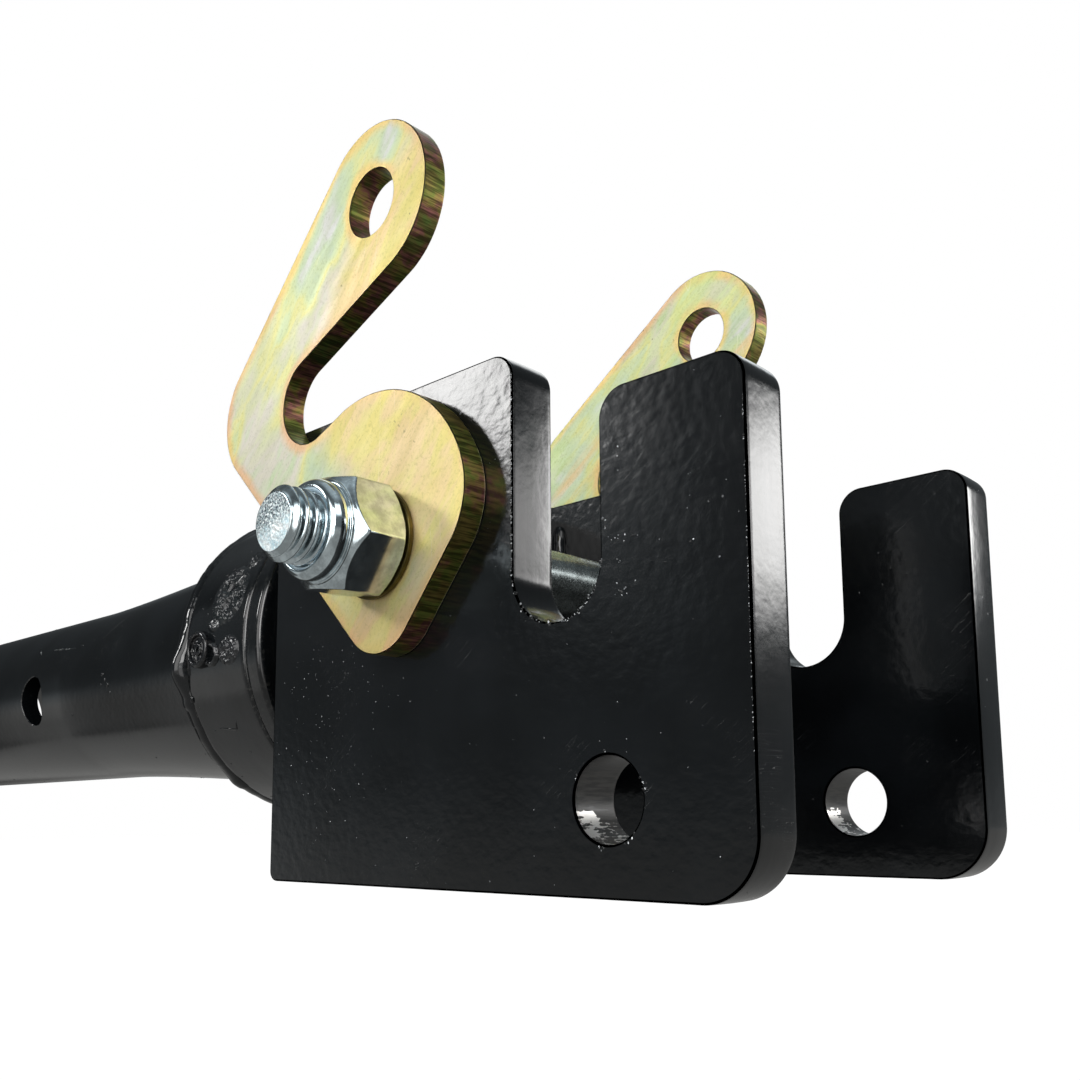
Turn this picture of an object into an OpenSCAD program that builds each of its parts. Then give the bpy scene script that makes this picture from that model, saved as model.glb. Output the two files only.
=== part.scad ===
// Swivelling latch hitch head.
// A two-plate fork with open-topped pin slots turns on a spindle in a
// greased housing at the front of a round shank. Two hook latches pivot on
// one through bolt and close over a cross pin lying in the slots.
// Origin: centre of the pin seat, on the swivel axis, midway between the
// fork plates. +X points out of the fork, +Z up, -Y to the right. Millimetres.

/* [Fork plates] */
// Length of a fork plate, rear edge to nose
plate_len = 140; // [135:0.5:147]
// Thickness of a fork plate
plate_t = 12; // [10:0.5:14]
// Height of the front prong above the bottom edge
front_h = 96; // [90:0.5:102]
// Height of the rear prong above the bottom edge
rear_h = 111.5; // [106:0.5:118]
// Overall width across both fork plates
fork_w = 106; // [102:0.5:112]
// Rounding of the prong tips
tip_r = 6; // [3:0.5:9]
// Rounding of the lower front corner
nose_r = 12; // [6:0.5:16]
// Rounding of the lower rear corner
heel_r = 2.5; // [1:0.5:5]
// Thickness of the plate joining the two fork plates
back_t = 12; // [8:0.5:14]
// Height of the joining plate, centred on the swivel axis
back_h = 84; // [70:1:88]

/* [Pin slot] */
// Width of the open slot
slot_w = 23; // [20:0.5:25]
// Distance from the rear edge to the slot centre
slot_x = 95.5; // [93:0.5:98]
// Height of the pin seat centre above the bottom edge
seat_h = 64; // [60:0.5:68]

/* [Lock pin hole] */
// Distance from the rear edge to the hole centre
lock_x = 108; // [105:0.5:111]
// Height of the hole centre above the bottom edge
lock_z = 18; // [16:0.5:22]
// Diameter of the hole in plates and latch levers
lock_d = 16.2; // [13:0.1:18]

/* [Pivot bolt] */
// Distance from the rear edge to the bolt axis
pivot_x = 48; // [45:0.5:50]
// Height of the bolt axis above the bottom edge
pivot_z = 75; // [72:0.5:78]
// Thread diameter of the bolt
bolt_d = 16; // [14:0.5:16]
// Width across flats of nut and bolt head
hex_af = 24; // [22:0.5:26]
// Height of the bolt head
head_h = 10; // [8:0.5:12]
// Height of the lock nut, collar included
nut_h = 18.2; // [16:0.1:20]
// Thread left standing beyond the nut
bolt_over = 7.6; // [5:0.1:12]
// Angle at which the tightened nut came to rest
nut_turn = -8; // [-30:1:30]
// Thread pitch
pitch = 2.3; // [1.5:0.1:2.5]

/* [Latches] */
// Thickness of a latch plate
latch_t = 6; // [5:0.5:8]
// Rounding of the lever end
lever_r = 19.3; // [17:0.1:21]
// Radius of the hook throat
throat_r = 11; // [10:0.1:11.5]
// Angle by which the right latch stands open
right_open = 136.4; // [0:0.1:200]
// Angle by which the left latch stands open
left_open = 126.3; // [0:0.1:200]

/* [Swivel] */
// Gap from the fork plates back to the turning flange
flange_gap = 18; // [14:0.5:24]
// Thickness of the turning flange
flange_t = 6.8; // [5:0.1:9]
// Diameter of the turning flange
flange_d = 92.8; // [88:0.1:96]
// Diameter of the housing
housing_d = 92; // [88:0.5:96]
// Length of the housing, without its rear plate
housing_len = 30.7; // [29:0.1:36]
// Diameter of the spindle in its bushes
spindle_d = 36; // [34:0.5:38]
// Diameter of the hub between flange and fork
hub_d = 58; // [50:1:62]
// Gap visible between the flange and the housing rim
rim_gap = 1; // [0.6:0.1:2]

/* [Shank] */
// Outside diameter of the shank tube
tube_d = 65; // [63:0.5:67]
// Wall of the shank tube
tube_wall = 6.5; // [5.5:0.5:6.5]
// Distance from the fork plates back to the open end of the tube
tube_back = 325; // [260:1:340]
// Amount by which the front end of the tube is belled out, on the radius
bell = 5.5; // [2:0.1:6]
// Length of the bell
bell_len = 110; // [60:1:115]
// Distance from the fork plates back to the cross hole
shank_hole_x = 196; // [190:1:205]
// Diameter of the cross hole
shank_hole_d = 18.5; // [16:0.5:21]
// Angle of the cross hole about the swivel axis
shank_hole_turn = 6.2; // [-10:0.1:10]

/* [Hidden] */

$fn = 96;

run = 0.05;          // running clearance on a radius
side = 0.1;          // running clearance on a face
joint_gap = 0.05;    // gap at the faces of the rear plate
snug = 0.02;         // gap round a fitted part or under a weld
thread_gap = 0.03;   // gap between a thread and its nut
face_gap = 0.01;     // gap at the end faces of a latch bush
cut = 1;             // overshoot of a cutting body

// Fork
rear_x = -slot_x;                  // rear edge of the fork plates
front_x = rear_x + plate_len;
bottom_z = -seat_h;
rear_top = bottom_z + rear_h;
front_top = bottom_z + front_h;
outer_y = fork_w/2;                // outer face of a fork plate
inner_y = outer_y - plate_t;
slot_r = slot_w/2;
bolt_x = rear_x + pivot_x;
bolt_z = bottom_z + pivot_z;
lock_hole_x = rear_x + lock_x;
lock_hole_z = bottom_z + lock_z;

// Swivel
flange_front = rear_x - flange_gap;
flange_back = flange_front - flange_t;
housing_front = flange_back - rim_gap;
housing_back = housing_front - housing_len;
housing_r = housing_d/2;
spigot_back = housing_back - 20.5; // end of the housing spigot in the tube
thrust_back = flange_back - 3;     // back face of the thrust washer
recess_floor = thrust_back - side; // floor of the thrust washer recess
spindle_r = spindle_d/2;
bush_t = 4;
bush_seat_r = spindle_r + run + bush_t;
shoulder_x = spigot_back - side;   // spindle shoulder where the thread starts
spindle_thread_r = 12;
washer_t = 4;
castle_h = 19;
castle_af = 36;
castle_front = shoulder_x - washer_t;
castle_back = castle_front - castle_h;
spindle_back = castle_back - 2;
split_pin_x = castle_back + 4;
nipple_x = (housing_front + housing_back)/2 - 6.9;

// Shank
rear_plate_t = 6;
rear_plate_front = housing_back - joint_gap;
rear_plate_back = housing_back - rear_plate_t;
rear_plate_r = housing_r - 1.6;
tube_end = rear_x - tube_back;
tube_r = tube_d/2;
tube_bore_r = tube_r - tube_wall;
bell_r = tube_r + bell;            // belled front end of the tube

// Bolt and latch bushes
bolt_r = bolt_d/2;
barrel_r = 11;
bush_flange_r = 12.5;
bush_flange_t = 1.2;
seat_y = outer_y + latch_t + 2*side + bush_flange_t;   // face under nut and head
bolt_end = seat_y + nut_h + bolt_over;
insert_r = hex_af*0.39;            // recess for the lock nut insert

// Latch: reach and angle from the bolt axis to the lock pin hole and the pin
// seat. In a latch's own frame the bolt is at 0 and the lever hole on +X.
lever_reach = norm([lock_hole_x - bolt_x, lock_hole_z - bolt_z]);
lever_angle = atan2(lock_hole_z - bolt_z, lock_hole_x - bolt_x);
throat_reach = norm([bolt_x, bolt_z]);
throat_angle = atan2(-bolt_z, -bolt_x) - lever_angle;
throat_centre = throat_reach*[cos(throat_angle), sin(throat_angle)];

steel_black = [0.07, 0.07, 0.075];
zinc = [0.78, 0.80, 0.82];
gold = [0.82, 0.78, 0.50];
bronze = [0.72, 0.55, 0.28];
pale_grey = [0.86, 0.88, 0.90];

// ---- helpers -------------------------------------------------------------

// Points of an arc between two angles, in the given number of steps
function arc(centre, radius, from, to, steps) =
    [for (i = [0 : steps])
        let (angle = from + (to - from)*i/steps)
        centre + radius*[cos(angle), sin(angle)]];

function unit(v) = v/norm(v);

function rotated(v, angle) =
    [v[0]*cos(angle) - v[1]*sin(angle), v[0]*sin(angle) + v[1]*cos(angle)];

// Rounding of the corner at point, coming from before and going to after
function corner(before, point, after, radius) =
    let (to_before = unit(before - point),
         to_after = unit(after - point),
         half = acos(to_before*to_after)/2,
         tangent = radius/tan(half),
         centre = point + unit(to_before + to_after)*(radius/sin(half)),
         start = point + to_before*tangent - centre,
         end = point + to_after*tangent - centre,
         from = atan2(start[1], start[0]),
         sweep = atan2(end[1], end[0]) - from,
         short_sweep = sweep > 180 ? sweep - 360 : sweep < -180 ? sweep + 360 : sweep)
    arc(centre, radius, from, from + short_sweep, 8);

// Turned part about the X axis from [x, radius] points
module turned(points) {
    rotate([0, 90, 0])
        rotate_extrude()
            polygon([for (p = points) [p[1], p[0]]]);
}

// Plain ring about the X axis
module ring(inner_r, outer_r, front, back) {
    turned([[front, inner_r], [front, outer_r], [back, outer_r], [back, inner_r]]);
}

// Weld bead round the X axis from [distance behind x, height above radius] points
module weld_bead(x, radius, section) {
    turned([for (p = section) [x - p[0], radius + p[1]]]);
}

// Plate lying in the XZ plane between y and y + thickness
module upright(y, thickness) {
    translate([0, y + thickness, 0])
        rotate([90, 0, 0])
            linear_extrude(thickness) children();
}

// Cylinder along Y
module y_rod(x, z, radius, from, to) {
    translate([x, to, z])
        rotate([90, 0, 0])
            cylinder(r = radius, h = to - from);
}

// Cutter for a hole through an upright plate
module y_hole(x, z, radius, y, thickness) {
    y_rod(x, z, radius, y - cut, y + thickness + cut);
}

// Cylinder along X
module x_rod(radius, from, to) {
    translate([from, 0, 0])
        rotate([0, 90, 0])
            cylinder(r = radius, h = to - from);
}

// Hexagon prism along +Z with its corners turned off at the chosen ends
module hex_body(flats, height, bevel_base, bevel_top) {
    face_r = flats/2*0.96;
    full_r = face_r + 3;
    bevel_h = 1.75;
    intersection() {
        cylinder(d = flats/cos(30), h = height, $fn = 6);
        rotate_extrude() polygon([
            [0, 0],
            [bevel_base ? face_r : full_r, 0],
            [full_r, bevel_base ? bevel_h : 0],
            [full_r, height - (bevel_top ? bevel_h : 0)],
            [bevel_top ? face_r : full_r, height],
            [0, height]]);
    }
}

// ---- fork ----------------------------------------------------------------

module fork_profile() {
    heel = [rear_x, bottom_z];
    nose = [front_x, bottom_z];
    front_tip = [front_x, front_top];
    front_lip = [slot_r, front_top];
    front_seat = [slot_r, 0];
    rear_seat = [-slot_r, 0];
    rear_lip = [-slot_r, rear_top];
    rear_tip = [rear_x, rear_top];
    polygon(concat(
        corner(rear_tip, heel, nose, heel_r),
        corner(heel, nose, front_tip, nose_r),
        corner(nose, front_tip, front_lip, tip_r),
        corner(front_tip, front_lip, front_seat, tip_r),
        [front_seat, rear_seat],
        corner(rear_seat, rear_lip, rear_tip, tip_r),
        corner(rear_lip, rear_tip, heel, tip_r)));
}

module fork_plate(y) {
    bolt_clearance = 0.25;
    color(steel_black) difference() {
        upright(y, plate_t) fork_profile();
        y_hole(0, 0, slot_r, y, plate_t);
        y_hole(lock_hole_x, lock_hole_z, lock_d/2, y, plate_t);
        y_hole(bolt_x, bolt_z, bolt_r + bolt_clearance, y, plate_t);
    }
}
module right_fork_plate() { fork_plate(-outer_y); }
module left_fork_plate() { fork_plate(inner_y); }

module fork_back_plate() {
    color(steel_black) difference() {
        translate([rear_x, -inner_y, -back_h/2]) cube([back_t, 2*inner_y, back_h]);
        x_rod(spindle_r, rear_x - cut, rear_x + back_t + cut);
    }
}

// Upright fillet welds in the two corners between joining plate and fork plates
module fork_welds() {
    inset = 2;       // distance of the weld ends from the plate edges
    section = [[0, 0], [5, 0], [3.1, 1.9], [1.9, 3.1], [0, 5]];
    color(steel_black)
    for (s = [-1, 1])
        translate([rear_x + back_t, s*inner_y, -back_h/2 + inset])
            rotate([0, 0, s > 0 ? -90 : 0])
                linear_extrude(back_h - 2*inset) polygon(section);
}

// ---- swivel --------------------------------------------------------------

module swivel_spindle() {
    front = rear_x + back_t;
    chamfer = 2;
    color(zinc) difference() {
        turned([[front, 0], [front, spindle_r - chamfer],
                [front - chamfer, spindle_r], [shoulder_x, spindle_r],
                [shoulder_x, spindle_thread_r],
                [spindle_back + chamfer, spindle_thread_r],
                [spindle_back, spindle_thread_r - chamfer],
                [spindle_back, 0]]);
        // hole for the split pin
        translate([split_pin_x, 0, -20]) cylinder(r = 2.1, h = 40);
    }
}

module swivel_hub() {
    radius = hub_d/2;
    chamfer = 3;
    color(steel_black)
        turned([[flange_front, spindle_r], [flange_front, radius],
                [rear_x - chamfer, radius], [rear_x, radius - chamfer],
                [rear_x, spindle_r]]);
}

module swivel_flange() {
    radius = flange_d/2;
    back_chamfer = 0.8;
    front_chamfer = 1.6;
    color(steel_black)
        turned([[flange_back, spindle_r], [flange_back, radius - back_chamfer],
                [flange_back + back_chamfer, radius],
                [flange_front - front_chamfer, radius],
                [flange_front, radius - front_chamfer],
                [flange_front, spindle_r]]);
}

module thrust_washer() {
    color(bronze) ring(spindle_r + 0.3, 35, flange_back - side, thrust_back);
}

// Housing with a washer recess in front and a spigot that enters the tube
module swivel_housing() {
    recess_r = 36;
    chamfer = 1.2;
    spigot_r = tube_bore_r - side;
    color(steel_black) difference() {
        turned([[housing_front, recess_r], [housing_front, housing_r - chamfer],
                [housing_front - chamfer, housing_r], [housing_back, housing_r],
                [housing_back, spigot_r], [spigot_back, spigot_r],
                [spigot_back, bush_seat_r], [recess_floor, bush_seat_r],
                [recess_floor, recess_r]]);
        // drilling for the grease nipple
        translate([nipple_x, -bush_seat_r + 2, 0])
            rotate([90, 0, 0])
                cylinder(r = 3, h = housing_r);
    }
}

module spindle_bush(front, back) {
    color(bronze) ring(spindle_r + run, bush_seat_r - snug, front, back);
}
module front_bush() { spindle_bush(recess_floor, flange_back - 19); }
module rear_bush() { spindle_bush(spigot_back + 17, spigot_back + 0.5); }

// Low grease nipple on the right: stem, round rim and a ball seat sunk inside it
module grease_nipple() {
    // [radius, height above the housing surface]
    section = [[0.8, -9], [2.98, -9], [2.98, 0.3], [5.4, 0.3], [5.4, 1.3],
               [4.9, 1.9], [4.1, 1.9], [3.7, 0.9], [1.9, 0.9], [1.5, 1.5],
               [0.8, 1.5]];
    color(steel_black)
        translate([nipple_x, 0, 0])
            rotate([90, 0, 0])
                rotate_extrude()
                    polygon([for (p = section) [p[0], housing_r + p[1]]]);
}

module rear_washer() {
    color(zinc) ring(spindle_thread_r + 0.2, 24.5, shoulder_x, castle_front);
}

// Nut with three slots across its rear end
module castle_nut() {
    notch_w = 5.5;
    notch_depth = 7.5;
    notch_len = 60;
    color(zinc) difference() {
        translate([castle_front, 0, 0])
            rotate([0, -90, 0])
                hex_body(castle_af, castle_h, false, true);
        x_rod(spindle_thread_r + thread_gap, castle_back - cut, castle_front + cut);
        for (turn = [0 : 60 : 120])
            rotate([turn, 0, 0])
                translate([castle_back - cut, -notch_w/2, -notch_len/2])
                    cube([notch_depth + cut, notch_w, notch_len]);
    }
}

// Straight pin with a ring at its upper end
module split_pin() {
    color(zinc) {
        translate([split_pin_x, 0, -21]) cylinder(r = 2, h = 40);
        translate([split_pin_x, 0, 21.4])
            rotate([90, 0, 0])
                rotate_extrude()
                    translate([2.4, 0]) circle(r = 1.2, $fn = 24);
    }
}

// ---- shank ---------------------------------------------------------------

module shank_tube() {
    bell_steps = 10;
    bell_power = 1.4;    // how quickly the bell dies away towards the rear
    chamfer = 1;
    hole_reach = 60;
    color(steel_black) difference() {
        turned(concat(
            [[rear_plate_front, tube_bore_r], [rear_plate_front, bell_r]],
            [for (i = [0 : bell_steps])
                let (u = i/bell_steps)
                [rear_plate_back - bell_len*u,
                 tube_r + (bell_r - tube_r)*pow(1 - u, bell_power)]],
            [[tube_end + chamfer, tube_r], [tube_end, tube_r - chamfer],
             [tube_end, tube_bore_r]]));
        rotate([shank_hole_turn, 0, 0])
            y_rod(rear_x - shank_hole_x, 0, shank_hole_d/2, -hole_reach, hole_reach);
    }
}

module housing_rear_plate() {
    color(steel_black)
        ring(bell_r + joint_gap, rear_plate_r, rear_plate_front, rear_plate_back);
}

// Bead round the rim of the rear plate
module housing_rim_weld() {
    color(steel_black)
        weld_bead(housing_back, rear_plate_r,
                  [[joint_gap, snug], [joint_gap, 2.2], [2, 2.5], [4, 2],
                   [5.4, 1], [5.9, snug]]);
}

// Fillet bead where the tube leaves the rear plate
module tube_weld() {
    color(steel_black)
        weld_bead(rear_plate_back, bell_r,
                  [[snug, snug], [snug, 4.5], [1.4, 3.7], [3.4, 1.6], [5, snug]]);
}

// ---- bolt, nut and bushes ------------------------------------------------

// Bolt with its head on the left and its thread, cut as grooves, on the right
module pivot_bolt() {
    grooves = floor((nut_h + bolt_over - 1.5)/pitch);
    root_r = bolt_r - 0.54*pitch;
    thread_start = -bolt_end + 2;
    color(zinc) translate([bolt_x, 0, bolt_z]) rotate([-90, 0, 0]) {
        rotate_extrude() polygon(concat(
            [[0, -bolt_end], [bolt_r - 1.4, -bolt_end], [root_r, thread_start - 0.1]],
            [for (i = [0 : grooves - 1]) each [
                [root_r, thread_start + i*pitch],
                [bolt_r, thread_start + (i + 0.44)*pitch],
                [bolt_r, thread_start + (i + 0.56)*pitch]]],
            [[root_r, thread_start + grooves*pitch],
             [bolt_r, thread_start + (grooves + 0.5)*pitch],
             [bolt_r, seat_y], [0, seat_y]]));
        translate([0, 0, seat_y]) hex_body(hex_af, head_h, false, true);
    }
}

// Places a part on the bolt axis, its +Z running out from the right seat face
module at_nut_seat() {
    translate([bolt_x, -seat_y, bolt_z]) rotate([90, 0, 0]) children();
}

// Hexagon with a round collar that grips the insert
module lock_nut() {
    hex_h = nut_h - 4.4;
    collar_r = hex_af*0.45;
    color(zinc) at_nut_seat() difference() {
        union() {
            rotate([0, 0, nut_turn]) hex_body(hex_af, hex_h, true, true);
            rotate_extrude() polygon([
                [0, hex_h - 1], [collar_r, hex_h - 1], [collar_r, nut_h - 2.6],
                [hex_af*0.43, nut_h - 1.1], [hex_af*0.39, nut_h - 0.2],
                [hex_af*0.37, nut_h], [0, nut_h]]);
        }
        translate([0, 0, -cut]) cylinder(r = bolt_r + thread_gap, h = nut_h + 2*cut);
        translate([0, 0, nut_h - 4.6]) cylinder(r = insert_r, h = 3.6);
    }
}

module lock_nut_insert() {
    color(pale_grey) at_nut_seat() translate([0, 0, nut_h - 4.55]) difference() {
        cylinder(r = insert_r - snug, h = 3.5);
        translate([0, 0, -cut]) cylinder(r = bolt_r + snug, h = 6);
    }
}

// Flanged bush that carries the right latch, barrel towards the fork
module latch_bush() {
    bore_r = bolt_r + snug;
    chamfer = 0.3;
    color(bronze) rotate([90, 0, 0]) rotate_extrude() polygon([
        [bore_r, outer_y + face_gap],
        [barrel_r, outer_y + face_gap],
        [barrel_r, seat_y - bush_flange_t],
        [bush_flange_r, seat_y - bush_flange_t],
        [bush_flange_r, seat_y - chamfer],
        [bush_flange_r - chamfer, seat_y - face_gap],
        [bore_r, seat_y - face_gap]]);
}
module right_latch_bush() { translate([bolt_x, 0, bolt_z]) latch_bush(); }
module left_latch_bush() {
    translate([bolt_x, 0, bolt_z]) mirror([0, 1, 0]) latch_bush();
}

// ---- latches -------------------------------------------------------------

// Outline in the latch's own frame. Centres and edge angles are given for a
// latch standing open with its lever up, then turned back by lever_stand.
// Front, back, top and bottom refer to that standing position.
module latch_profile() {
    lever_stand = 92.9;
    lever_back = 46.8 - lever_stand;       // back edge of the lever
    lever_throat = 23.5 - lever_stand;     // throat side of the lever
    hook_top = 16.9 - lever_stand;         // top of the hook body
    lower_back = -45.8 - lever_stand;      // lower back edge
    lower_front = 47.1 - lever_stand;      // lower front edge
    crown_start = 21.6 - lever_stand;      // where front rounding meets crown
    back_centre = rotated([-46.2, 42.5], -lever_stand);
    bottom_centre = rotated([0.4, -12.2], -lever_stand);
    crown_centre = rotated([-3.6, 2.9], -lever_stand);
    crown_r = 32.8;
    front_r = 18.3;
    front_centre = crown_centre
        + (crown_r - front_r)*[cos(crown_start), sin(crown_start)];
    polygon(concat(
        arc([lever_reach, 0], lever_r, lever_throat - 90, lever_back + 90, 24),
        arc(back_centre, 18, lever_back + 90, lower_back + 270, 12),
        arc(bottom_centre, 12.4, lower_back + 270, lower_front + 270, 12),
        arc(front_centre, front_r, lower_front - 90, crown_start, 12),
        arc(crown_centre, crown_r, crown_start, hook_top + 90, 14),
        arc(throat_centre, throat_r, hook_top + 270, lever_throat + 90, 22)));
}

// Latch plate with its lower-Y face at y, opened by the given angle
module latch(y, open) {
    color(gold)
        translate([bolt_x, 0, bolt_z])
            rotate([0, -(lever_angle + open), 0])
                difference() {
                    upright(y, latch_t) latch_profile();
                    y_hole(0, 0, barrel_r + run, y, latch_t);
                    y_hole(lever_reach, 0, lock_d/2, y, latch_t);
                    y_hole(throat_centre[0], throat_centre[1], throat_r, y, latch_t);
                }
}
module right_latch() { latch(-outer_y - side - latch_t, right_open); }
module left_latch() { latch(outer_y + side, left_open); }

shank_tube();
tube_weld();
housing_rear_plate();
housing_rim_weld();
swivel_housing();
front_bush();
rear_bush();
grease_nipple();
swivel_spindle();
swivel_hub();
swivel_flange();
thrust_washer();
rear_washer();
castle_nut();
split_pin();
fork_back_plate();
right_fork_plate();
left_fork_plate();
fork_welds();
pivot_bolt();
lock_nut();
lock_nut_insert();
right_latch_bush();
left_latch_bush();
right_latch();
left_latch();
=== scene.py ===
import math
import random

import bmesh
import bpy
from mathutils import Matrix, Vector, geometry, noise
from mathutils.kdtree import KDTree


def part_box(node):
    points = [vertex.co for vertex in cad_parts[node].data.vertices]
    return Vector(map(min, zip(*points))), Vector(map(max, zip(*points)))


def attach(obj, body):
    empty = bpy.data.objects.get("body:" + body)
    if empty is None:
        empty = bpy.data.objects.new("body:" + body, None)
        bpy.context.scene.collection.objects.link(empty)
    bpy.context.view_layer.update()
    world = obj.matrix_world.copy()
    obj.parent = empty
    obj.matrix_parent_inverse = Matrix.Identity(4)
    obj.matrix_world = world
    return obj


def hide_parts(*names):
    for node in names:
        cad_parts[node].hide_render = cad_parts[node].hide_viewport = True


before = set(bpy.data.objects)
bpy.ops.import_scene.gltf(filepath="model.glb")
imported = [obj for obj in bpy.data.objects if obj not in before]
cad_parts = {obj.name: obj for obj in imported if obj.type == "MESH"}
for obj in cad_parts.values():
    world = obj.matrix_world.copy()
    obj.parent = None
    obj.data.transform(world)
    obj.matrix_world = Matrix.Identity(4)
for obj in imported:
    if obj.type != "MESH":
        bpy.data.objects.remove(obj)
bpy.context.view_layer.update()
MM = 0.001  # shapes are written in millimetres, shaders and the stage in metres

# --------------------------------------------------------------------------
# sizes, read from the CAD boxes where a box holds them
# --------------------------------------------------------------------------


def box_mm(node):
    low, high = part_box(node)
    return [value / MM for value in low], [value / MM for value in high]


SIDES = (("right", -1), ("left", 1))  # name and sign of Y

# fork plates
plate_low, plate_high = box_mm("right_fork_plate")
OUTER_Y, INNER_Y = -plate_low[1], -plate_high[1]
REAR_X, BASE_Z = plate_low[0], plate_low[2]
FRONT_X = REAR_X + 140.0
REAR_TOP, FRONT_TOP = plate_high[2], BASE_Z + 96.0
SLOT_R = 23.0 / 2
PIVOT_X, PIVOT_Z = REAR_X + 48.0, BASE_Z + 75.0
PIVOT_HOLE_R = 8.25
LOCK_X, LOCK_Z = REAR_X + 108.0, BASE_Z + 18.0
LOCK_HOLE_R = 8.1

# latches, in degrees and millimetres about the pivot
LOCK_REACH = math.hypot(LOCK_X - PIVOT_X, LOCK_Z - PIVOT_Z)
LOCK_ANGLE = math.degrees(math.atan2(LOCK_Z - PIVOT_Z, LOCK_X - PIVOT_X))
SEAT_REACH = math.hypot(PIVOT_X, PIVOT_Z)
THROAT_ANGLE = math.degrees(math.atan2(-PIVOT_Z, -PIVOT_X)) - LOCK_ANGLE
OPEN_ANGLE = {"right": 136.4, "left": 126.3}
LATCH_THICK, LATCH_GAP = 6, 0.1
LATCH_BORE_R = 11.05

# bolt and nut
NUT_SEAT_Y = -box_mm("lock_nut")[1][1]
BOLT_END = -box_mm("pivot_bolt")[0][1]
BOLT_R, THREAD_DEPTH, PITCH = 8.0, 1.32, 2.31
HEX_FLATS, HEAD_HEIGHT, NUT_HEIGHT = 24.0, 10.0, 18.2
NUT_TURN = math.radians(-8)

# swivel: along X and radius
flange_low, flange_high = box_mm("swivel_flange")
FLANGE_REAR, FLANGE_FRONT, FLANGE_R = flange_low[0], flange_high[0], flange_high[1]
housing_low, housing_high = box_mm("swivel_housing")
HOUSING_R, HOUSING_TAIL = housing_high[1], housing_low[0]
HOUSING_FRONT = FLANGE_REAR - 1.0
HOUSING_REAR = HOUSING_FRONT - 30.7
REAR_PLATE_REAR = box_mm("housing_rear_plate")[0][0]
REAR_PLATE_R = HOUSING_R - 1.6
NIPPLE_X, NIPPLE_Z = (HOUSING_FRONT + HOUSING_REAR) / 2 - 6.9, -0.9

# shank tube
tube_low, tube_high = box_mm("shank_tube")
TUBE_REAR, BELL_R = tube_low[0], tube_high[1]
TUBE_FRONT = HOUSING_REAR - 0.05
TUBE_R, TUBE_BORE_R = 32.5, 26.0
BELL_LENGTH, BELL_POWER = 110.0, 1.4
TUBE_SEGMENTS, TUBE_HOLE_SEGMENTS = 168, 72
HOLE_X, HOLE_R, HOLE_BEVEL = REAR_X - 196.0, 9.25, 0.45
HOLE_TURN = math.radians(6.2)

back_plate_low, back_plate_high = box_mm("fork_back_plate")

# --------------------------------------------------------------------------
# plane curves and noise
# --------------------------------------------------------------------------


def single_noise(x, y, z=0.0, seed=0.0):
    return noise.noise(Vector((x + seed * 17.3, y - seed * 9.1, z + seed * 5.7)))


def fractal(x, y, z=0.0, seed=0.0):
    """Three octaves of noise."""
    total, strength, scale = 0.0, 1.0, 1.0
    for _ in range(3):
        total += strength * single_noise(x * scale, y * scale, z * scale, seed)
        strength *= 0.5
        scale *= 2.03
    return total


def ease(value):
    """Smooth step from 0 to 1."""
    value = max(0.0, min(1.0, value))
    return value * value * (3 - 2 * value)


def blend_min(first, second, width):
    """Smaller of two values with a rounded changeover."""
    share = max(0.0, min(1.0, 0.5 + 0.5 * (second - first) / width))
    return second + (first - second) * share - width * share * (1 - share)


def arc(x, y, radius, start, stop, step):
    """Points of an arc between two angles in degrees."""
    count = max(3, int(math.ceil(abs(math.radians(stop - start)) * radius / step)))
    angles = [math.radians(start + (stop - start) * i / count) for i in range(count + 1)]
    return [(x + radius * math.cos(angle), y + radius * math.sin(angle)) for angle in angles]


def fillet(before, corner, after, radius, step):
    """Points of a rounded corner between its two neighbours."""
    if radius <= 0:
        return [corner]
    to_before = Vector((before[0] - corner[0], before[1] - corner[1])).normalized()
    to_after = Vector((after[0] - corner[0], after[1] - corner[1])).normalized()
    half = math.acos(max(-1, min(1, to_before.dot(to_after)))) / 2
    if half < 1e-3 or half > math.pi / 2 - 1e-3:
        return [corner]
    reach = radius / math.tan(half)
    centre = Vector(corner) + (to_before + to_after).normalized() * (radius / math.sin(half))
    first = Vector(corner) + to_before * reach - centre
    last = Vector(corner) + to_after * reach - centre
    start = math.atan2(first.y, first.x)
    sweep = math.atan2(last.y, last.x) - start
    while sweep > math.pi:
        sweep -= 2 * math.pi
    while sweep < -math.pi:
        sweep += 2 * math.pi
    count = max(3, int(math.ceil(abs(sweep) * radius / step)))
    return [(centre.x + radius * math.cos(start + sweep * i / count),
             centre.y + radius * math.sin(start + sweep * i / count)) for i in range(count + 1)]


def rounded(corners, step):
    """Closed loop from (x, y, corner radius) rows."""
    loop = []
    for i, corner in enumerate(corners):
        after = corners[(i + 1) % len(corners)]
        loop += fillet(corners[i - 1][:2], corner[:2], after[:2], corner[2], step)
    return loop


def dense(loop, step):
    """The same loop with its long sides divided."""
    points = []
    for i, here in enumerate(loop):
        after = loop[(i + 1) % len(loop)]
        length = math.hypot(after[0] - here[0], after[1] - here[1])
        if length < 1e-6:
            continue
        count = max(1, int(round(length / step)))
        for j in range(count):
            points.append((here[0] + (after[0] - here[0]) * j / count,
                           here[1] + (after[1] - here[1]) * j / count))
    return points


def loop_normals(loop):
    """Unit vectors square to a loop, outward where it runs anticlockwise."""
    normals = []
    for i in range(len(loop)):
        before, after = loop[i - 1], loop[(i + 1) % len(loop)]
        run, climb = after[0] - before[0], after[1] - before[1]
        length = math.hypot(run, climb) or 1.0
        normals.append((climb / length, -run / length))
    return normals


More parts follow.
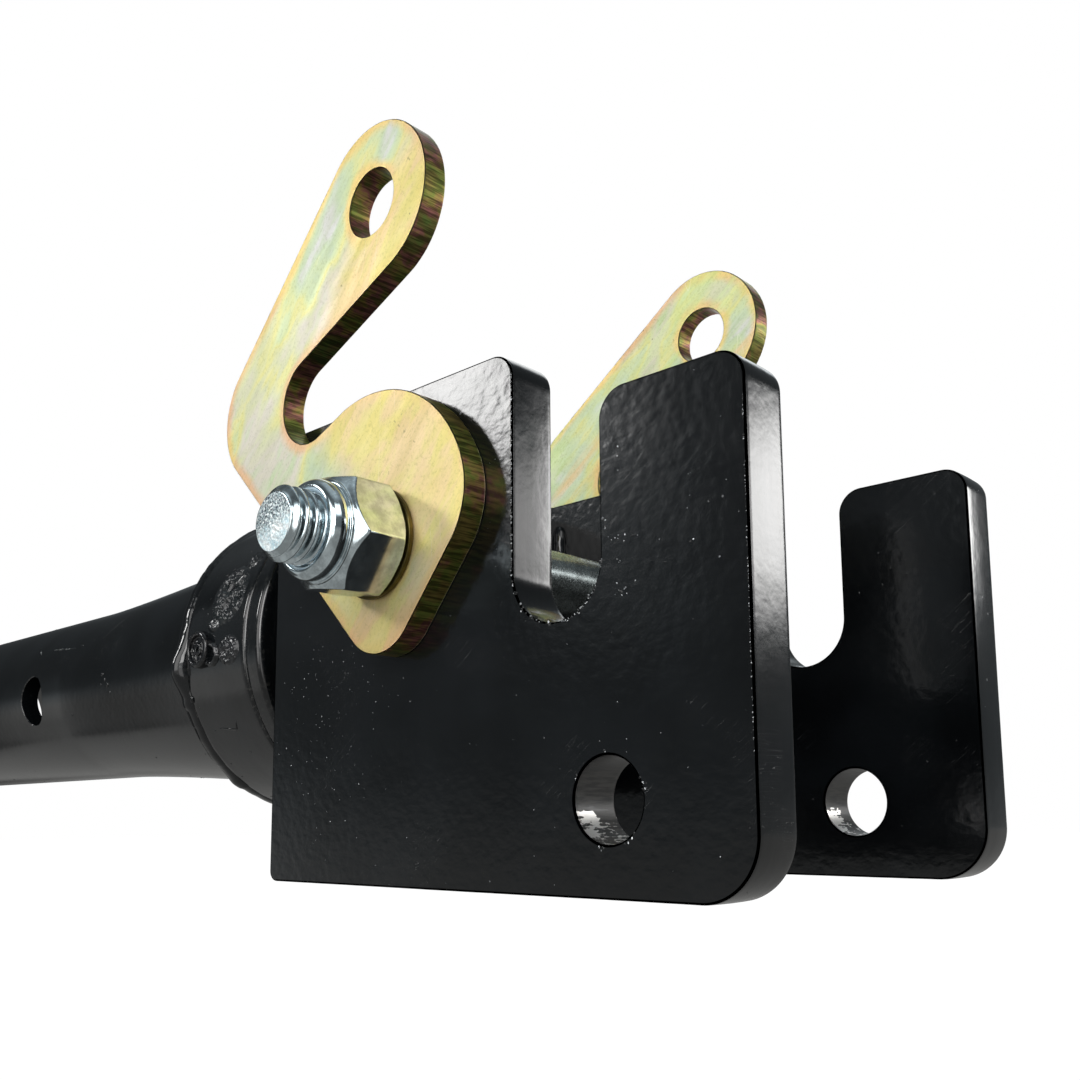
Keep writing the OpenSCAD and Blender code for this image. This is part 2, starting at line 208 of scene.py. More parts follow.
def hole(x, z, radius, step):
    """Clockwise circle."""
    count = int(2 * math.pi * radius / step)
    angles = [-2 * math.pi * i / count for i in range(count)]
    return [(x + radius * math.cos(angle), z + radius * math.sin(angle)) for angle in angles]


# --------------------------------------------------------------------------
# meshes
# --------------------------------------------------------------------------


def recalculate(mesh, merge=0.0):
    """Turn all faces outward, after joining points closer than merge metres."""
    work = bmesh.new()
    work.from_mesh(mesh)
    if merge:
        bmesh.ops.remove_doubles(work, verts=work.verts, dist=merge)
    bmesh.ops.recalc_face_normals(work, faces=work.faces)
    work.to_mesh(mesh)
    work.free()


class Shape:
    """Points, faces and per-point attributes gathered for one mesh."""

    def __init__(self, *attributes):
        self.verts, self.normals, self.faces = [], [], []
        self.attributes = {name: [] for name in attributes}

    def add(self, point, normal=None, **values):
        self.verts.append(point)
        self.normals.append(normal)
        for name, value in values.items():
            self.attributes[name].append(value)

    def face(self, corners, flip=False):
        corners = tuple(corners)
        self.faces.append(corners[::-1] if flip else corners)

    def band(self, first, second, count, flip=False):
        """Quads between two closed rings, given by the index of their first points."""
        for i in range(count):
            j = (i + 1) % count
            self.face((first + i, first + j, second + j, second + i), flip)

    def bands(self, start, rings, count, flip=False, closed=False):
        """Quads along a row of rings; closed joins the last ring to the first."""
        for ring in range(rings if closed else rings - 1):
            following = start + (ring + 1) % rings * count
            self.band(start + ring * count, following, count, flip)

    def build(self, name, own_normals=False, outward=False):
        """Object from the shape. With own_normals, a normal of None takes the mesh's."""
        mesh = bpy.data.meshes.new(name)
        mesh.from_pydata([(x * MM, y * MM, z * MM) for x, y, z in self.verts], [], self.faces)
        mesh.update()
        mesh.polygons.foreach_set("use_smooth", [True] * len(mesh.polygons))
        for key, values in self.attributes.items():
            mesh.attributes.new(key, "FLOAT", "POINT").data.foreach_set("value", values)
        mesh.validate(clean_customdata=False)
        if own_normals:
            found = [vert.normal.copy() for vert in mesh.vertices]
            mesh.normals_split_custom_set_from_vertices(
                [found[i] if normal is None else Vector(normal).normalized()
                 for i, normal in enumerate(self.normals)])
        obj = bpy.data.objects.new(name, mesh)
        bpy.context.scene.collection.objects.link(obj)
        if outward:
            recalculate(mesh)
        return obj


def plate(name, loops, y0, y1, bevel, segments, rows, displace, inset=0.0):
    """Plate in XZ between y0 and y1 with rounded edges.

    loops[0] is the outline, anticlockwise; the rest are holes, clockwise.
    displace(loop index, arc length, share of thickness) moves the cut walls in and out.
    inset is the width of face beside each edge over which the near attribute fades out.
    """
    shape = Shape("edge", "wall", "near")
    quarter = [math.pi / 2 * k / segments for k in range(segments + 1)]
    # offset, y, angle from the face normal, and which face (0 for the wall)
    profile = [(-bevel * (1 - math.sin(turn)), y0 + bevel * (1 - math.cos(turn)), turn, -1)
               for turn in quarter]
    profile += [(0.0, y0 + bevel + (y1 - y0 - 2 * bevel) * k / rows, math.pi / 2, 0)
                for k in range(1, rows)]
    profile += [(-bevel * (1 - math.sin(turn)), y1 - bevel * (1 - math.cos(turn)), turn, 1)
                for turn in reversed(quarter)]
    fade = ((inset * 0.5, 0.5), (inset, 0.0)) if inset else ()
    caps = {-1: [], 1: []}
    for index, loop in enumerate(loops):
        outward = loop_normals(loop)
        count = len(loop)
        base = len(shape.verts)
        length, arcs = 0.0, []
        for i in range(count):
            arcs.append(length)
            after = loop[(i + 1) % count]
            length += math.hypot(after[0] - loop[i][0], after[1] - loop[i][1])
        for offset, y, turn, side in profile:
            sine, cosine = math.sin(turn), math.cos(turn)
            weight = ease((sine - 0.2) / 0.8)
            for i, ((x, z), (out_x, out_z)) in enumerate(zip(loop, outward)):
                move = offset
                if weight > 0:
                    move += displace(index, arcs[i], (y - y0) / (y1 - y0)) * weight
                if turn < 1e-6:
                    normal = (0, side, 0)
                elif side != 0 and turn < math.pi / 2 - 1e-6:
                    normal = (out_x * sine, side * cosine, out_z * sine)
                else:
                    normal = None
                shape.add((x + out_x * move, y, z + out_z * move), normal,
                          edge=math.sin(2 * turn) if side != 0 else 0.0,
                          wall=ease(sine * 1.3 - 0.2), near=1.0)
        shape.bands(base, len(profile), count)
        for side, rim in ((-1, base), (1, base + (len(profile) - 1) * count)):
            for distance, near in fade:
                ring = len(shape.verts)
                for (x, z), (out_x, out_z) in zip(loop, outward):
                    shape.add((x - out_x * distance, y0 if side < 0 else y1,
                               z - out_z * distance),
                              (0, side, 0), edge=0.0, wall=0.0, near=near)
                shape.band(ring, rim, count, flip=side < 0)
                rim = ring
            caps[side].append(range(rim, rim + count))
    for side, rims in caps.items():
        flat = [i for rim in rims for i in rim]
        outlines = [[Vector((shape.verts[i][0], shape.verts[i][2], 0)) for i in rim]
                    for rim in rims]
        for triangle in geometry.tessellate_polygon(outlines):
            corners = [flat[k] for k in triangle]
            a, b, c = (shape.verts[k] for k in corners)
            # winding seen from -Y: x to the right, z up
            winding = (b[0] - a[0]) * (c[2] - a[2]) - (b[2] - a[2]) * (c[0] - a[0])
            if abs(winding) >= 1e-9:
                shape.face(corners, flip=(winding < 0) != (side > 0))
    return shape.build(name, own_normals=True)


def ring(name, profile, segments, displace=None, cross=None):
    """Closed (along, radius) profile turned about X, or about the Y line through cross (x, z).

    displace(along, radius, angle, outward) moves the skin along its normal.
    """
    shape = Shape("edge")
    count = len(profile)
    area = sum(profile[i][0] * profile[(i + 1) % count][1]
               - profile[(i + 1) % count][0] * profile[i][1] for i in range(count))
    sense = 1.0 if area > 0 else -1.0
    outward = [(u * sense, v * sense) for u, v in loop_normals(profile)]
    # how sharply the profile bends, as the edge attribute
    bends = []
    for i, (along, radius) in enumerate(profile):
        before, after = profile[i - 1], profile[(i + 1) % count]
        into = Vector((along - before[0], radius - before[1]))
        away = Vector((after[0] - along, after[1] - radius))
        bend = into.angle(away, 0.0) if into.length > 1e-9 and away.length > 1e-9 else 0.0
        bends.append(min(1.0, bend / 0.3) if min(into.length, away.length) < 0.6 else 0.0)
    for k in range(segments):
        angle = 2 * math.pi * k / segments
        cosine, sine = math.cos(angle), math.sin(angle)

        def spin(along, across):
            if cross:
                return across * cosine, along, across * sine
            return along, across * cosine, across * sine

        for i, (along, radius) in enumerate(profile):
            move = displace(along, radius, angle, outward[i]) if displace else 0.0
            x, y, z = spin(along + outward[i][0] * move, radius + outward[i][1] * move)
            if cross:
                x, z = cross[0] + x, cross[1] + z
            shape.add((x, y, z), None if displace else spin(*outward[i]), edge=bends[i])
    shape.bands(0, segments, count, flip=(sense > 0) == bool(cross), closed=True)
    return shape.build(name, own_normals=True)


def turned_body(rows, columns, y, turn=0.0, closed=False):
    """Shape about the pivot line from (distance towards -Y, radius) rows.

    A radius is a number or a function of the angle.
    """
    shape = Shape()
    for along, radius in rows:
        for i in range(columns):
            angle = 2 * math.pi * i / columns
            size = radius(angle - turn) if callable(radius) else radius
            shape.add((PIVOT_X + size * math.cos(angle), y - along,
                       PIVOT_Z + size * math.sin(angle)))
    shape.bands(0, len(rows), columns, closed=closed)
    return shape


def finish(obj, body, slot, material, *nodes):
    obj.data.materials.append(material)
    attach(obj, body)
    if nodes:
        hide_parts(*nodes)


def finish_black(obj, body, paint, *nodes):
    finish(obj, body, "black_steel", paint, *nodes)


# --------------------------------------------------------------------------
# shader building
# --------------------------------------------------------------------------

DEGREES = 57.29578  # per radian


class Value:
    """Output of a shader node. Arithmetic and the methods below each add nodes fed by it."""

    def __init__(self, tree, node, output=0):
        self.tree, self.node, self.socket = tree, node, node.outputs[output]

    def __add__(self, other):
        return join("ADD", self, other)

    def __radd__(self, other):
        return join("ADD", other, self)

    def __sub__(self, other):
        return join("SUBTRACT", self, other)

    def __rsub__(self, other):
        return join("SUBTRACT", other, self)

    def __mul__(self, other):
        return join("MULTIPLY", self, other)

    def __rmul__(self, other):
        return join("MULTIPLY", other, self)

    def __truediv__(self, other):
        return join("DIVIDE", self, other)

    def __pow__(self, other):
        return join("POWER", self, other)

    def __gt__(self, other):
        return join("GREATER_THAN", self, other)

    def __lt__(self, other):
        return join("LESS_THAN", self, other)

    def __abs__(self):
        return join("ABSOLUTE", self)

    def rise(self, low, high):
        """Smooth step from 0 at low to 1 at high."""
        inputs = {"Value": self, "From Min": low, "From Max": high}
        return add_node(self.tree, "ShaderNodeMapRange", inputs,
                        interpolation_type="SMOOTHSTEP", clamp=True)

    def fall(self, low, high):
        return 1.0 - self.rise(low, high)

    def between(self, rise_low, rise_high, fall_low, fall_high):
        """1 inside a soft-edged range, 0 outside."""
        return self.rise(rise_low, rise_high) * self.fall(fall_low, fall_high)

    def remap(self, low, high, to):
        inputs = {"Value": self, "From Min": low, "From Max": high,
                  "To Min": to[0], "To Max": to[1]}
        return add_node(self.tree, "ShaderNodeMapRange", inputs, clamp=True)

    def hairline(self, width):
        """Thin lines where noise crosses its middle."""
        return abs(self - 0.5).fall(0.0, width)

    def tinted(self, *color):
        """Color multiplied by another."""
        return mix_color(1.0, self, color, "MULTIPLY")

    def noise(self, scale, detail=2.0, rough=0.5, distort=0.0):
        inputs = {"Vector": self, "Scale": scale, "Detail": detail, "Roughness": rough,
                  "Distortion": distort}
        return add_node(self.tree, "ShaderNodeTexNoise", inputs, noise_dimensions="3D")

    def voronoi(self, scale, feature="F1"):
        """Distance to the cell point, and the cell's random color."""
        inputs = {"Vector": self, "Scale": scale, "Randomness": 1.0}
        cells = add_node(self.tree, "ShaderNodeTexVoronoi", inputs, feature=feature)
        return [Value(self.tree, cells.node, output) for output in ("Distance", "Color")]

    def rotate(self, degrees):
        """Vector turned about Y."""
        inputs = {"Vector": self, "Angle": math.radians(degrees)}
        return add_node(self.tree, "ShaderNodeVectorRotate", inputs, rotation_type="Y_AXIS")

    def split(self, parts="XYZ"):
        separate = add_node(self.tree, "ShaderNodeSeparate" + parts, {0: self})
        return [Value(self.tree, separate.node, k) for k in range(3)]

    def ramp(self, stops):
        """Color ramp through (position, color) stops."""
        ramp = add_node(self.tree, "ShaderNodeValToRGB", {0: self})
        elements = ramp.node.color_ramp.elements
        for element, (position, color) in zip(elements, (stops[0], stops[-1])):
            element.position, element.color = position, (*color, 1)
        for position, color in stops[1:-1]:
            elements.new(position).color = (*color, 1)
        return ramp

    def attribute(self, name):
        """Mesh attribute, in the same node tree."""
        return add_node(self.tree, "ShaderNodeAttribute", output="Fac", attribute_name=name)

    def bump(self, distance, under=None):
        """Normal from this height, laid over another normal if there is one."""
        inputs = {"Strength": 1.0, "Distance": distance, "Height": self}
        if under:
            inputs["Normal"] = under
        return add_node(self.tree, "ShaderNodeBump", inputs)


def set_inputs(value, inputs):
    for key, item in inputs.items():
        socket = value.node.inputs[key]
        if isinstance(item, Value):
            value.tree.links.new(item.socket, socket)
        elif isinstance(item, tuple) and socket.type == "RGBA":
            socket.default_value = (*item, 1.0)
        else:
            socket.default_value = item


def add_node(tree, kind, inputs=None, output=0, **settings):
    node = tree.nodes.new(kind)
    for key, setting in settings.items():
        setattr(node, key, setting)
    value = Value(tree, node, output)
    set_inputs(value, inputs or {})
    return value


def join(operation, first, second=0.0):
    """Math node of two terms, or a vector one where the second is a tuple."""
    tree = first.tree if isinstance(first, Value) else second.tree
    if isinstance(second, tuple):
        kind, terms = "ShaderNodeVectorMath", (first, second)
    else:
        kind, terms = "ShaderNodeMath", (first, second, 0.0)
    return add_node(tree, kind, dict(enumerate(terms)), operation=operation)


def mix_color(mask, low, high, blend="MIX"):
    tree = mask.tree if isinstance(mask, Value) else low.tree
    mixed = tree.nodes.new("ShaderNodeMix")
    mixed.data_type, mixed.blend_type = "RGBA", blend
    value = Value(tree, mixed, 2)
    set_inputs(value, {0: mask, 6: low, 7: high})
    return value


def mix_value(mask, low, high):
    return add_node(mask.tree, "ShaderNodeMix", {0: mask, 2: low, 3: high}, data_type="FLOAT")


def connect_output(tree, kind, surface):
    tree.links.new(surface.socket, tree.nodes.new(kind).inputs[0])


def new_material(name):
    """Material, its principled shader, and the object coordinates."""
    material = bpy.data.materials.new(name)
    material.use_nodes = True
    tree = material.node_tree
    tree.nodes.clear()
    shader = add_node(tree, "ShaderNodeBsdfPrincipled")
    connect_output(tree, "ShaderNodeOutputMaterial", shader)
    return material, shader, add_node(tree, "ShaderNodeTexCoord", output="Object")


def dimmed(color, share):
    return tuple(part * share for part in color)


def srgb(*color):
    """Linear color from 0-255 display values."""
    return tuple((part / 255 / 12.92) if part / 255 <= 0.04045
                 else ((part / 255 + 0.055) / 1.055) ** 2.4 for part in color)


# --------------------------------------------------------------------------
# materials
# --------------------------------------------------------------------------


def bore_finish(place, point, bore_y, tone, roughness):
    """Thin coat in the lock pin hole, rubbed to bare metal low on the rear side.

    bore_y is (inner, outer). Returns the new tone, the new roughness and the bare mask.
    """
    x, y, z = place.split()
    off_x, off_z = x - LOCK_X * MM, z - LOCK_Z * MM
    radius = join("SQRT", off_x * off_x + off_z * off_z)
    angle = join("ARCTAN2", off_z, off_x) * DEGREES
    inside = radius.fall((LOCK_HOLE_R + 0.10) * MM, (LOCK_HOLE_R + 0.30) * MM)
    axial = (point * (1.0, 0.10, 1.0)).noise(scale=1800, rough=0.6)
    blots = (point * (1.0, 0.5, 1.0)).noise(scale=760, detail=3.0, rough=0.65)
    thin_coat = mix_color(axial.rise(0.35, 0.65), (0.018, 0.018, 0.018), (0.055, 0.053, 0.050))
    tone = mix_color(inside * 0.9, tone, thin_coat)
    roughness = mix_value(inside, roughness, axial.remap(0.3, 0.7, to=(0.34, 0.48)))
    # wear by angle round the bore in degrees, and by depth from the outer face
    depth = y.remap(bore_y[1] * MM, bore_y[0] * MM, to=(0.0, 1.0))
    low_rear = angle.between(-176, -160, -126, -108)
    low = angle.between(-170, -130, -84, -62)
    wear = join("MAXIMUM", low_rear * depth.fall(0.30, 0.72), low * 0.42)
    speckle = blots * 0.62 + axial * 0.38
    bare = (speckle + wear * 0.22).rise(0.63, 0.67) * inside * wear.rise(0.03, 0.15)
    bare_steel = (0.93, 0.91, 0.88)
    return mix_color(bare, tone, bare_steel), mix_value(bare, roughness, 0.45), bare


def black_paint(name, peel, dust, seed, rough=0.10, shade=1.0, scuff=0.0, sagging=0.9,
                waves=0.8, rear_lumps=0.0, drawn=0.0, bore_y=None):
    """Thick gloss black: orange peel, slow sags, dust nibs, hairline scratches, thin edges.

    peel and dust scale the relief, sagging and waves the slow swells in it, scuff the grey
    rubbing (on the weld patch partly a painted sheen), rear_lumps the runs on the rear prong and
    drawn the upright lines on cut walls.
    """
    material, shader, place = new_material(name)
    point = place + (seed, seed * 0.7, -seed * 0.4)
    edge = place.attribute("edge")
    peel_coarse = (point * (0.74, 1.0, 1.04)).noise(scale=700, detail=1.5)
    peel_fine = point.noise(scale=1700, detail=1.0)
    sags = (point * (1.0, 1.0, 0.45)).noise(scale=120)
    slow = point.noise(scale=42)
    # dust nibs: small raised dots, more in some places than in others
    distance = point.voronoi(scale=330)[0]
    chance, spread, _ = point.voronoi(scale=330)[1].split("Color")
    dusty = point.noise(scale=26, rough=0.6).rise(0.47, 0.62)
    picked = chance > mix_value(dusty, 0.985, 0.90)
    size = spread.remap(0, 1, to=(0.035, 0.11))
    nib = picked * (distance / size).fall(0.6, 1.3)
    # lumps flattened by flow, as in a hammered coat
    hammered = (point + (0.3, 0.1, 0.2)).voronoi(420, "SMOOTH_F1")[0].rise(0.15, 0.75)
    # streaks across Z in the roughness, and hairline scratches in patches
    streaks = ((point + (0.02, 0, 0.013)) * (0.9, 0.9, 14.0)).noise(scale=160, detail=1.0)
    lines = (point.rotate(38) * (0.35, 0.9, 22.0)).noise(scale=120, detail=0.0)
    scratch = lines.hairline(0.004) * point.noise(scale=38, detail=1.0).rise(0.60, 0.66)

    tone = mix_color(slow.rise(0.35, 0.7), dimmed((0.0022, 0.0027, 0.0032), shade),
                     dimmed((0.0050, 0.0060, 0.0070), shade))
    tone = mix_color(nib * (0.35 * dust), tone, (0.20, 0.21, 0.22))
    tone = mix_color(scratch * (0.30 * dust), tone, (0.16, 0.16, 0.16))
    worn = edge ** 2.0 * point.noise(scale=900, rough=0.6).rise(0.52, 0.66)
    tone = mix_color(worn * 0.22, tone, (0.26, 0.25, 0.23))
    if scuff:
        tone = mix_color(peel_coarse.rise(0.40, 0.62) * scuff, tone, (0.14, 0.15, 0.15))
    cloudy = point.noise(scale=75, detail=3.0, rough=0.6)
    roughness = cloudy.remap(0.3, 0.75, to=(rough * 1.05, rough * 1.4))
    roughness = roughness + nib * 0.25 + streaks * 0.03
    if bore_y:
        tone, roughness, bare = bore_finish(place, point, bore_y, tone, roughness)
        set_inputs(shader, {"Metallic": bare})

    height = peel_coarse * 0.62 + peel_fine * 0.10 + sags * sagging + slow * waves
    if rear_lumps:
        x, _, z = place.split()
        on_prong = x.fall(-0.034, -0.016) * z.rise(-0.010, 0.004)
        height = height - hammered * (0.35 + on_prong * rear_lumps)
    else:
        height = height - hammered * 0.35
    if drawn:
        # faint upright lines in the coat on the cut walls
        wall = place.attribute("wall").rise(0.5, 0.9)
        height = height * mix_value(wall, 1.0, 0.42)
        upright = ((point * (1.0, 1.0, 0.035)).noise(scale=620, rough=0.6)
                   + (point * (1.0, 1.0, 0.02)).noise(scale=1700, detail=1.0) * 0.5)
        height = height + wall * upright * drawn
    coat = height.bump(distance=0.000030 * peel)
    marks = nib * 1.0 - scratch * 0.15
    set_inputs(shader, {"Base Color": tone, "Roughness": roughness, "IOR": 1.5,
                        "Normal": marks.bump(distance=0.00006 * dust + 1e-7, under=coat)})
    return material


def warm_and_shaded_throat_side(place, color, cloud, patches, angle, warm_and_shaded_below):
    """Warmer color along the throat side of the lever arm and below a height in mm; below that
    height the colour is also darkened as painted shadow of the nut.
    """
    eye = math.radians(LOCK_ANGLE + OPEN_ANGLE["right"])
    x, _, z = place.split()
    off_x = x - (PIVOT_X + LOCK_REACH * math.cos(eye)) * MM
    off_z = z - (PIVOT_Z + LOCK_REACH * math.sin(eye)) * MM
    run, climb = math.cos(math.radians(angle)), math.sin(math.radians(angle))
    across = off_x * climb - off_z * run
    along = off_x * run + off_z * climb
    wander = (patches - 0.5) * 0.022
    side = (across + wander).rise(-0.003, 0.007) * along.rise(-0.058, -0.046)
    straw = mix_color(patches.rise(0.40, 0.60), srgb(250, 224, 172), srgb(244, 232, 152))
    color = mix_color(side * 0.85, color, straw)
    low = (z + (cloud - 0.5) * 0.03).fall((warm_and_shaded_below - 14) * MM, (warm_and_shaded_below + 6) * MM)
    amber = mix_color(patches.rise(0.42, 0.58), srgb(244, 206, 158), srgb(236, 226, 150))
    color = mix_color(low * 0.75, color, amber)
    # painted shadow: darker colour below the height, for the nut's shadow on the latch
    shaded = z.fall((warm_and_shaded_below - 12) * MM, (warm_and_shaded_below + 4) * MM)
    return mix_color(shaded * 0.35, color, color.tinted(0.62, 0.55, 0.50))


# (noise value, color) of the rolled faces and of the cut walls
FACE_CLOUDS = [
    (0.34, srgb(226, 230, 226)), (0.40, srgb(212, 230, 200)), (0.455, srgb(222, 236, 190)),
    (0.50, srgb(238, 238, 170)), (0.54, srgb(228, 234, 198)), (0.59, srgb(230, 228, 216)),
    (0.64, srgb(216, 234, 196)), (0.72, srgb(240, 234, 176)),
]
WALL_PATCHES = [
    (0.30, srgb(96, 88, 52)), (0.40, srgb(134, 122, 70)), (0.47, srgb(118, 132, 66)),
    (0.52, srgb(152, 132, 80)), (0.56, srgb(146, 96, 96)), (0.61, srgb(112, 102, 62)),
    (0.68, srgb(96, 118, 62)), (0.76, srgb(120, 96, 66)),
]


def yellow_zinc(name, seed, angle, streaking, warm_and_shaded_below=None):
    """Yellow-passivated zinc on rolled plate: green and yellow clouds, soft streaks at an angle
    in degrees, pinkish gold beside edges and holes, olive cut walls, scratches, pale edges."""
    material, shader, place = new_material(name)
    point = place + (seed, -seed, seed * 0.5)
    grained = point.rotate(angle)  # x runs along the streaks
    edge, wall, near = (place.attribute(key) for key in ("edge", "wall", "near"))
    cloud = (grained * (0.6, 1.0, 1.1)).noise(scale=38, distort=0.9)
    patches = (grained * (0.5, 1.0, 1.2)).noise(scale=95, detail=3.0, rough=0.55, distort=0.6)
    streak = (grained * (0.20, 1.0, 1.0)).noise(scale=300, detail=4.0, rough=0.60, distort=0.3)
    fine = (grained * (0.07, 1.0, 1.0)).noise(scale=2000, rough=0.6)
    grain = point.noise(scale=1500, detail=3.0, rough=0.65)
    mottle = cloud * 0.62 + patches * (0.38 - 0.18 * streaking) + streak * (0.20 * streaking)
    color = mottle.ramp(FACE_CLOUDS)

    # pinkish gold beside the edges and holes, wider in places
    border = (near + (patches - 0.5) * 1.3).rise(0.22, 0.95) * near.rise(0.0, 0.3)
    warm = mix_color(cloud.rise(0.42, 0.60), srgb(252, 226, 150), srgb(246, 206, 164))
    color = mix_color(border * 0.92, color, warm)
    # warmer colour on the throat side and low down, with painted shadow below that height
    if warm_and_shaded_below is not None:
        color = warm_and_shaded_throat_side(place, color, cloud, patches, angle, warm_and_shaded_below)
    if streaking > 0.6:
        # broad slanting bands of pink and straw
        bands = (grained * (0.13, 1.0, 1.0)).noise(scale=62, detail=3.0, rough=0.6, distort=0.5)
        color = mix_color(bands.rise(0.50, 0.62) * 0.75, color, srgb(250, 216, 170))
        color = mix_color((1.0 - bands).rise(0.52, 0.64) * 0.7, color, srgb(222, 246, 172))
    # darker streaks, fine drawing lines and grain
    streaked = streak.remap(0.35, 0.68, to=(0.0, 0.28 + 0.35 * streaking))
    color = mix_color(streaked, color, color.tinted(0.86, 0.90, 0.72))
    lined = fine.remap(0.35, 0.7, to=(0.0, 0.16))
    color = mix_color(lined, color, color.tinted(0.62, 0.66, 0.56))
    color = mix_color(grain.rise(0.50, 0.70) * 0.34, color, color.tinted(0.58, 0.60, 0.46))
    # a few dark and pale scratches
    dark_line = (grained * (0.25, 1.0, 9.0)).noise(scale=170, detail=0.0).hairline(0.006)
    dark_line = dark_line * point.noise(scale=60, detail=1.0).rise(0.57, 0.63)
    color = mix_color(dark_line * 0.5, color, srgb(132, 124, 84))
    pale_line = (point * (1.4, 1.0, 0.2)).noise(scale=120, detail=0.0).hairline(0.004)
    pale_area = (point + (0.3, 0.3, 0.3)).noise(scale=45, detail=1.0).rise(0.58, 0.64)
    pale_line = pale_line * pale_area
    color = mix_color(pale_line * 0.6, color, srgb(255, 255, 240))
    # small dark pits
    distance, random_color = point.voronoi(scale=240)
    pit = (random_color.split("Color")[0] > 0.955) * distance.fall(0.03, 0.09)
    color = mix_color(pit * 0.6, color, srgb(120, 112, 70))

    # cut walls: crisp lines across the thickness over olive, brown and red-green patches
    lines = (point * (1.0, 0.05, 1.0)).noise(scale=2300, rough=0.6)
    wide_lines = (point * (1.0, 0.12, 1.0)).noise(scale=900)
    blotches = (point * (1.0, 0.7, 1.0)).noise(scale=70, detail=4.0, rough=0.65)
    wall_color = blotches.ramp(WALL_PATCHES)
    ridges = lines * 0.62 + wide_lines * 0.38
    wall_color = mix_color(ridges.rise(0.42, 0.60), wall_color.tinted(0.50, 0.48, 0.44),
                           wall_color.tinted(1.5, 1.45, 1.3))
    on_wall = wall.rise(0.35, 0.75)
    base = mix_color(on_wall, color.tinted(0.88, 0.84, 0.86), wall_color)
    base = mix_color(edge ** 2.0 * 0.85, base, srgb(255, 246, 206))

    roughness = mix_value(on_wall, streak.remap(0.3, 0.7, to=(0.46, 0.58)),
                          lines.remap(0.3, 0.7, to=(0.30, 0.48)))
    relief = fine * 0.5 + streak * 0.7 + grain * 0.9 - dark_line * 0.8 - pit * 1.2
    height = mix_value(on_wall, relief, ridges * 5.0)
    set_inputs(shader, {"Base Color": base, "Metallic": mix_value(on_wall, 0.80, 0.9),
                        "Roughness": roughness, "Normal": height.bump(distance=0.000014)})
    return material


def bright_zinc(name, seed, rough, grain_and_painted_reflection=0.0, tint=(0.70, 0.80, 0.84), dark=0.62):
    """Bright zinc plate: cloudy metal with fine lines and small pits.

    dark is the share of the tint in the dark clouds, grain_and_painted_reflection the strength of
    sheared grain; above zero it also paints a reflection on the free end, bright below and darker
    above, with painted glints.
    """
    material, shader, place = new_material(name)
    point = place + (seed, -seed * 0.3, seed)
    cloud = point.noise(scale=260, detail=4.0, rough=0.65)
    fine = point.noise(scale=2200, detail=3.0, rough=0.65)
    pits = point.voronoi(scale=1100)[0]
    color = mix_color(cloud.rise(0.35, 0.68), dimmed(tint, dark), tint)
    color = mix_color(fine.rise(0.55, 0.75) * 0.35, color, (0.36, 0.42, 0.40))
    color = mix_color(place.attribute("edge") * 0.4, color, (0.92, 0.95, 0.97))
    if grain_and_painted_reflection:
        # sheared end: painted reflection, bright below as if from the floor and darker above a
        # line that climbs towards +X, speckled above it, with painted glints
        slope = 0.25
        level = PIVOT_Z - slope * PIVOT_X
        x, _, z = place.split()
        upper = (z + x * -slope).rise((level - 2.6) * MM, (level + 2.2) * MM)
        bright = mix_color(cloud.rise(0.35, 0.65), (0.62, 0.80, 0.86), (0.97, 1.0, 1.0))
        color = mix_color(upper, bright, (0.40, 0.48, 0.50))
        specks = point.noise(scale=2300, detail=1.0).rise(0.50, 0.57)
        color = mix_color(specks * mix_value(upper, 0.18, 0.92), color, (0.035, 0.05, 0.07))
        painted_glints = (point + (0.1, 0.2, 0.3)).noise(scale=2000, detail=1.0).rise(0.53, 0.61)
        color = mix_color(painted_glints * 0.8, color, (0.96, 1.0, 1.0))
    height = (cloud * 0.5 + fine * (0.25 + grain_and_painted_reflection)
              + pits.rise(0.0, 0.3) * (0.3 + 1.5 * grain_and_painted_reflection))
    set_inputs(shader, {"Base Color": color, "Metallic": 1.0,
                        "Roughness": fine.remap(0.25, 0.75, to=(rough * 0.7, rough * 1.7)),
                        "Normal": height.bump(distance=0.000010 * (1 + 3 * grain_and_painted_reflection))})
    return material


def bronze(name, seed=0.0, dim=1.0):
    """Oiled sintered bronze: dark olive brown with fine pores."""
    material, shader, place = new_material(name)
    point = place + (seed, seed, 0)
    pores = point.voronoi(scale=2600)[0]
    cloud = point.noise(scale=180, detail=3.0, rough=0.6)
    color = mix_color(cloud.rise(0.35, 0.7), dimmed(srgb(96, 84, 44), dim),
                      dimmed(srgb(142, 126, 68), dim))
    color = mix_color(pores.fall(0.05, 0.22), color, dimmed(srgb(44, 38, 22), dim))
    set_inputs(shader, {"Base Color": color, "Metallic": 0.9,
                        "Roughness": cloud.remap(0.3, 0.7, to=(0.28, 0.5)),
                        "Normal": pores.rise(0.0, 0.3).bump(distance=0.00001)})
    return material


def dust_and_glint_grains(name, strength=1.0):
    """Pale grains: dust caught in the coating, and with a raised strength painted glints on paint
    nibs.
    """
    material, shader, place = new_material(name)
    cloud = place.noise(scale=900, rough=0.6)
    color = mix_color(cloud.rise(0.35, 0.65), dimmed((0.06, 0.065, 0.07), strength),
                      dimmed((0.34, 0.35, 0.36), strength))
    set_inputs(shader, {"Base Color": color,
                        "Roughness": cloud.remap(0.3, 0.7, to=(0.25, 0.6)),
                        "Normal": cloud.bump(distance=0.00001)})
    return material


def nylon(name):
    material, shader, place = new_material(name)
    cloud = place.noise(scale=700, detail=3.0, rough=0.6)
    color = mix_color(cloud, srgb(176, 204, 222), srgb(222, 236, 244))
    set_inputs(shader, {"Base Color": color,
                        "Roughness": cloud.remap(0.3, 0.7, to=(0.3, 0.45)),
                        "Subsurface Weight": 0.15,
                        "Subsurface Radius": (0.001, 0.001, 0.001),
                        "Normal": cloud.bump(distance=0.00001)})
    return material


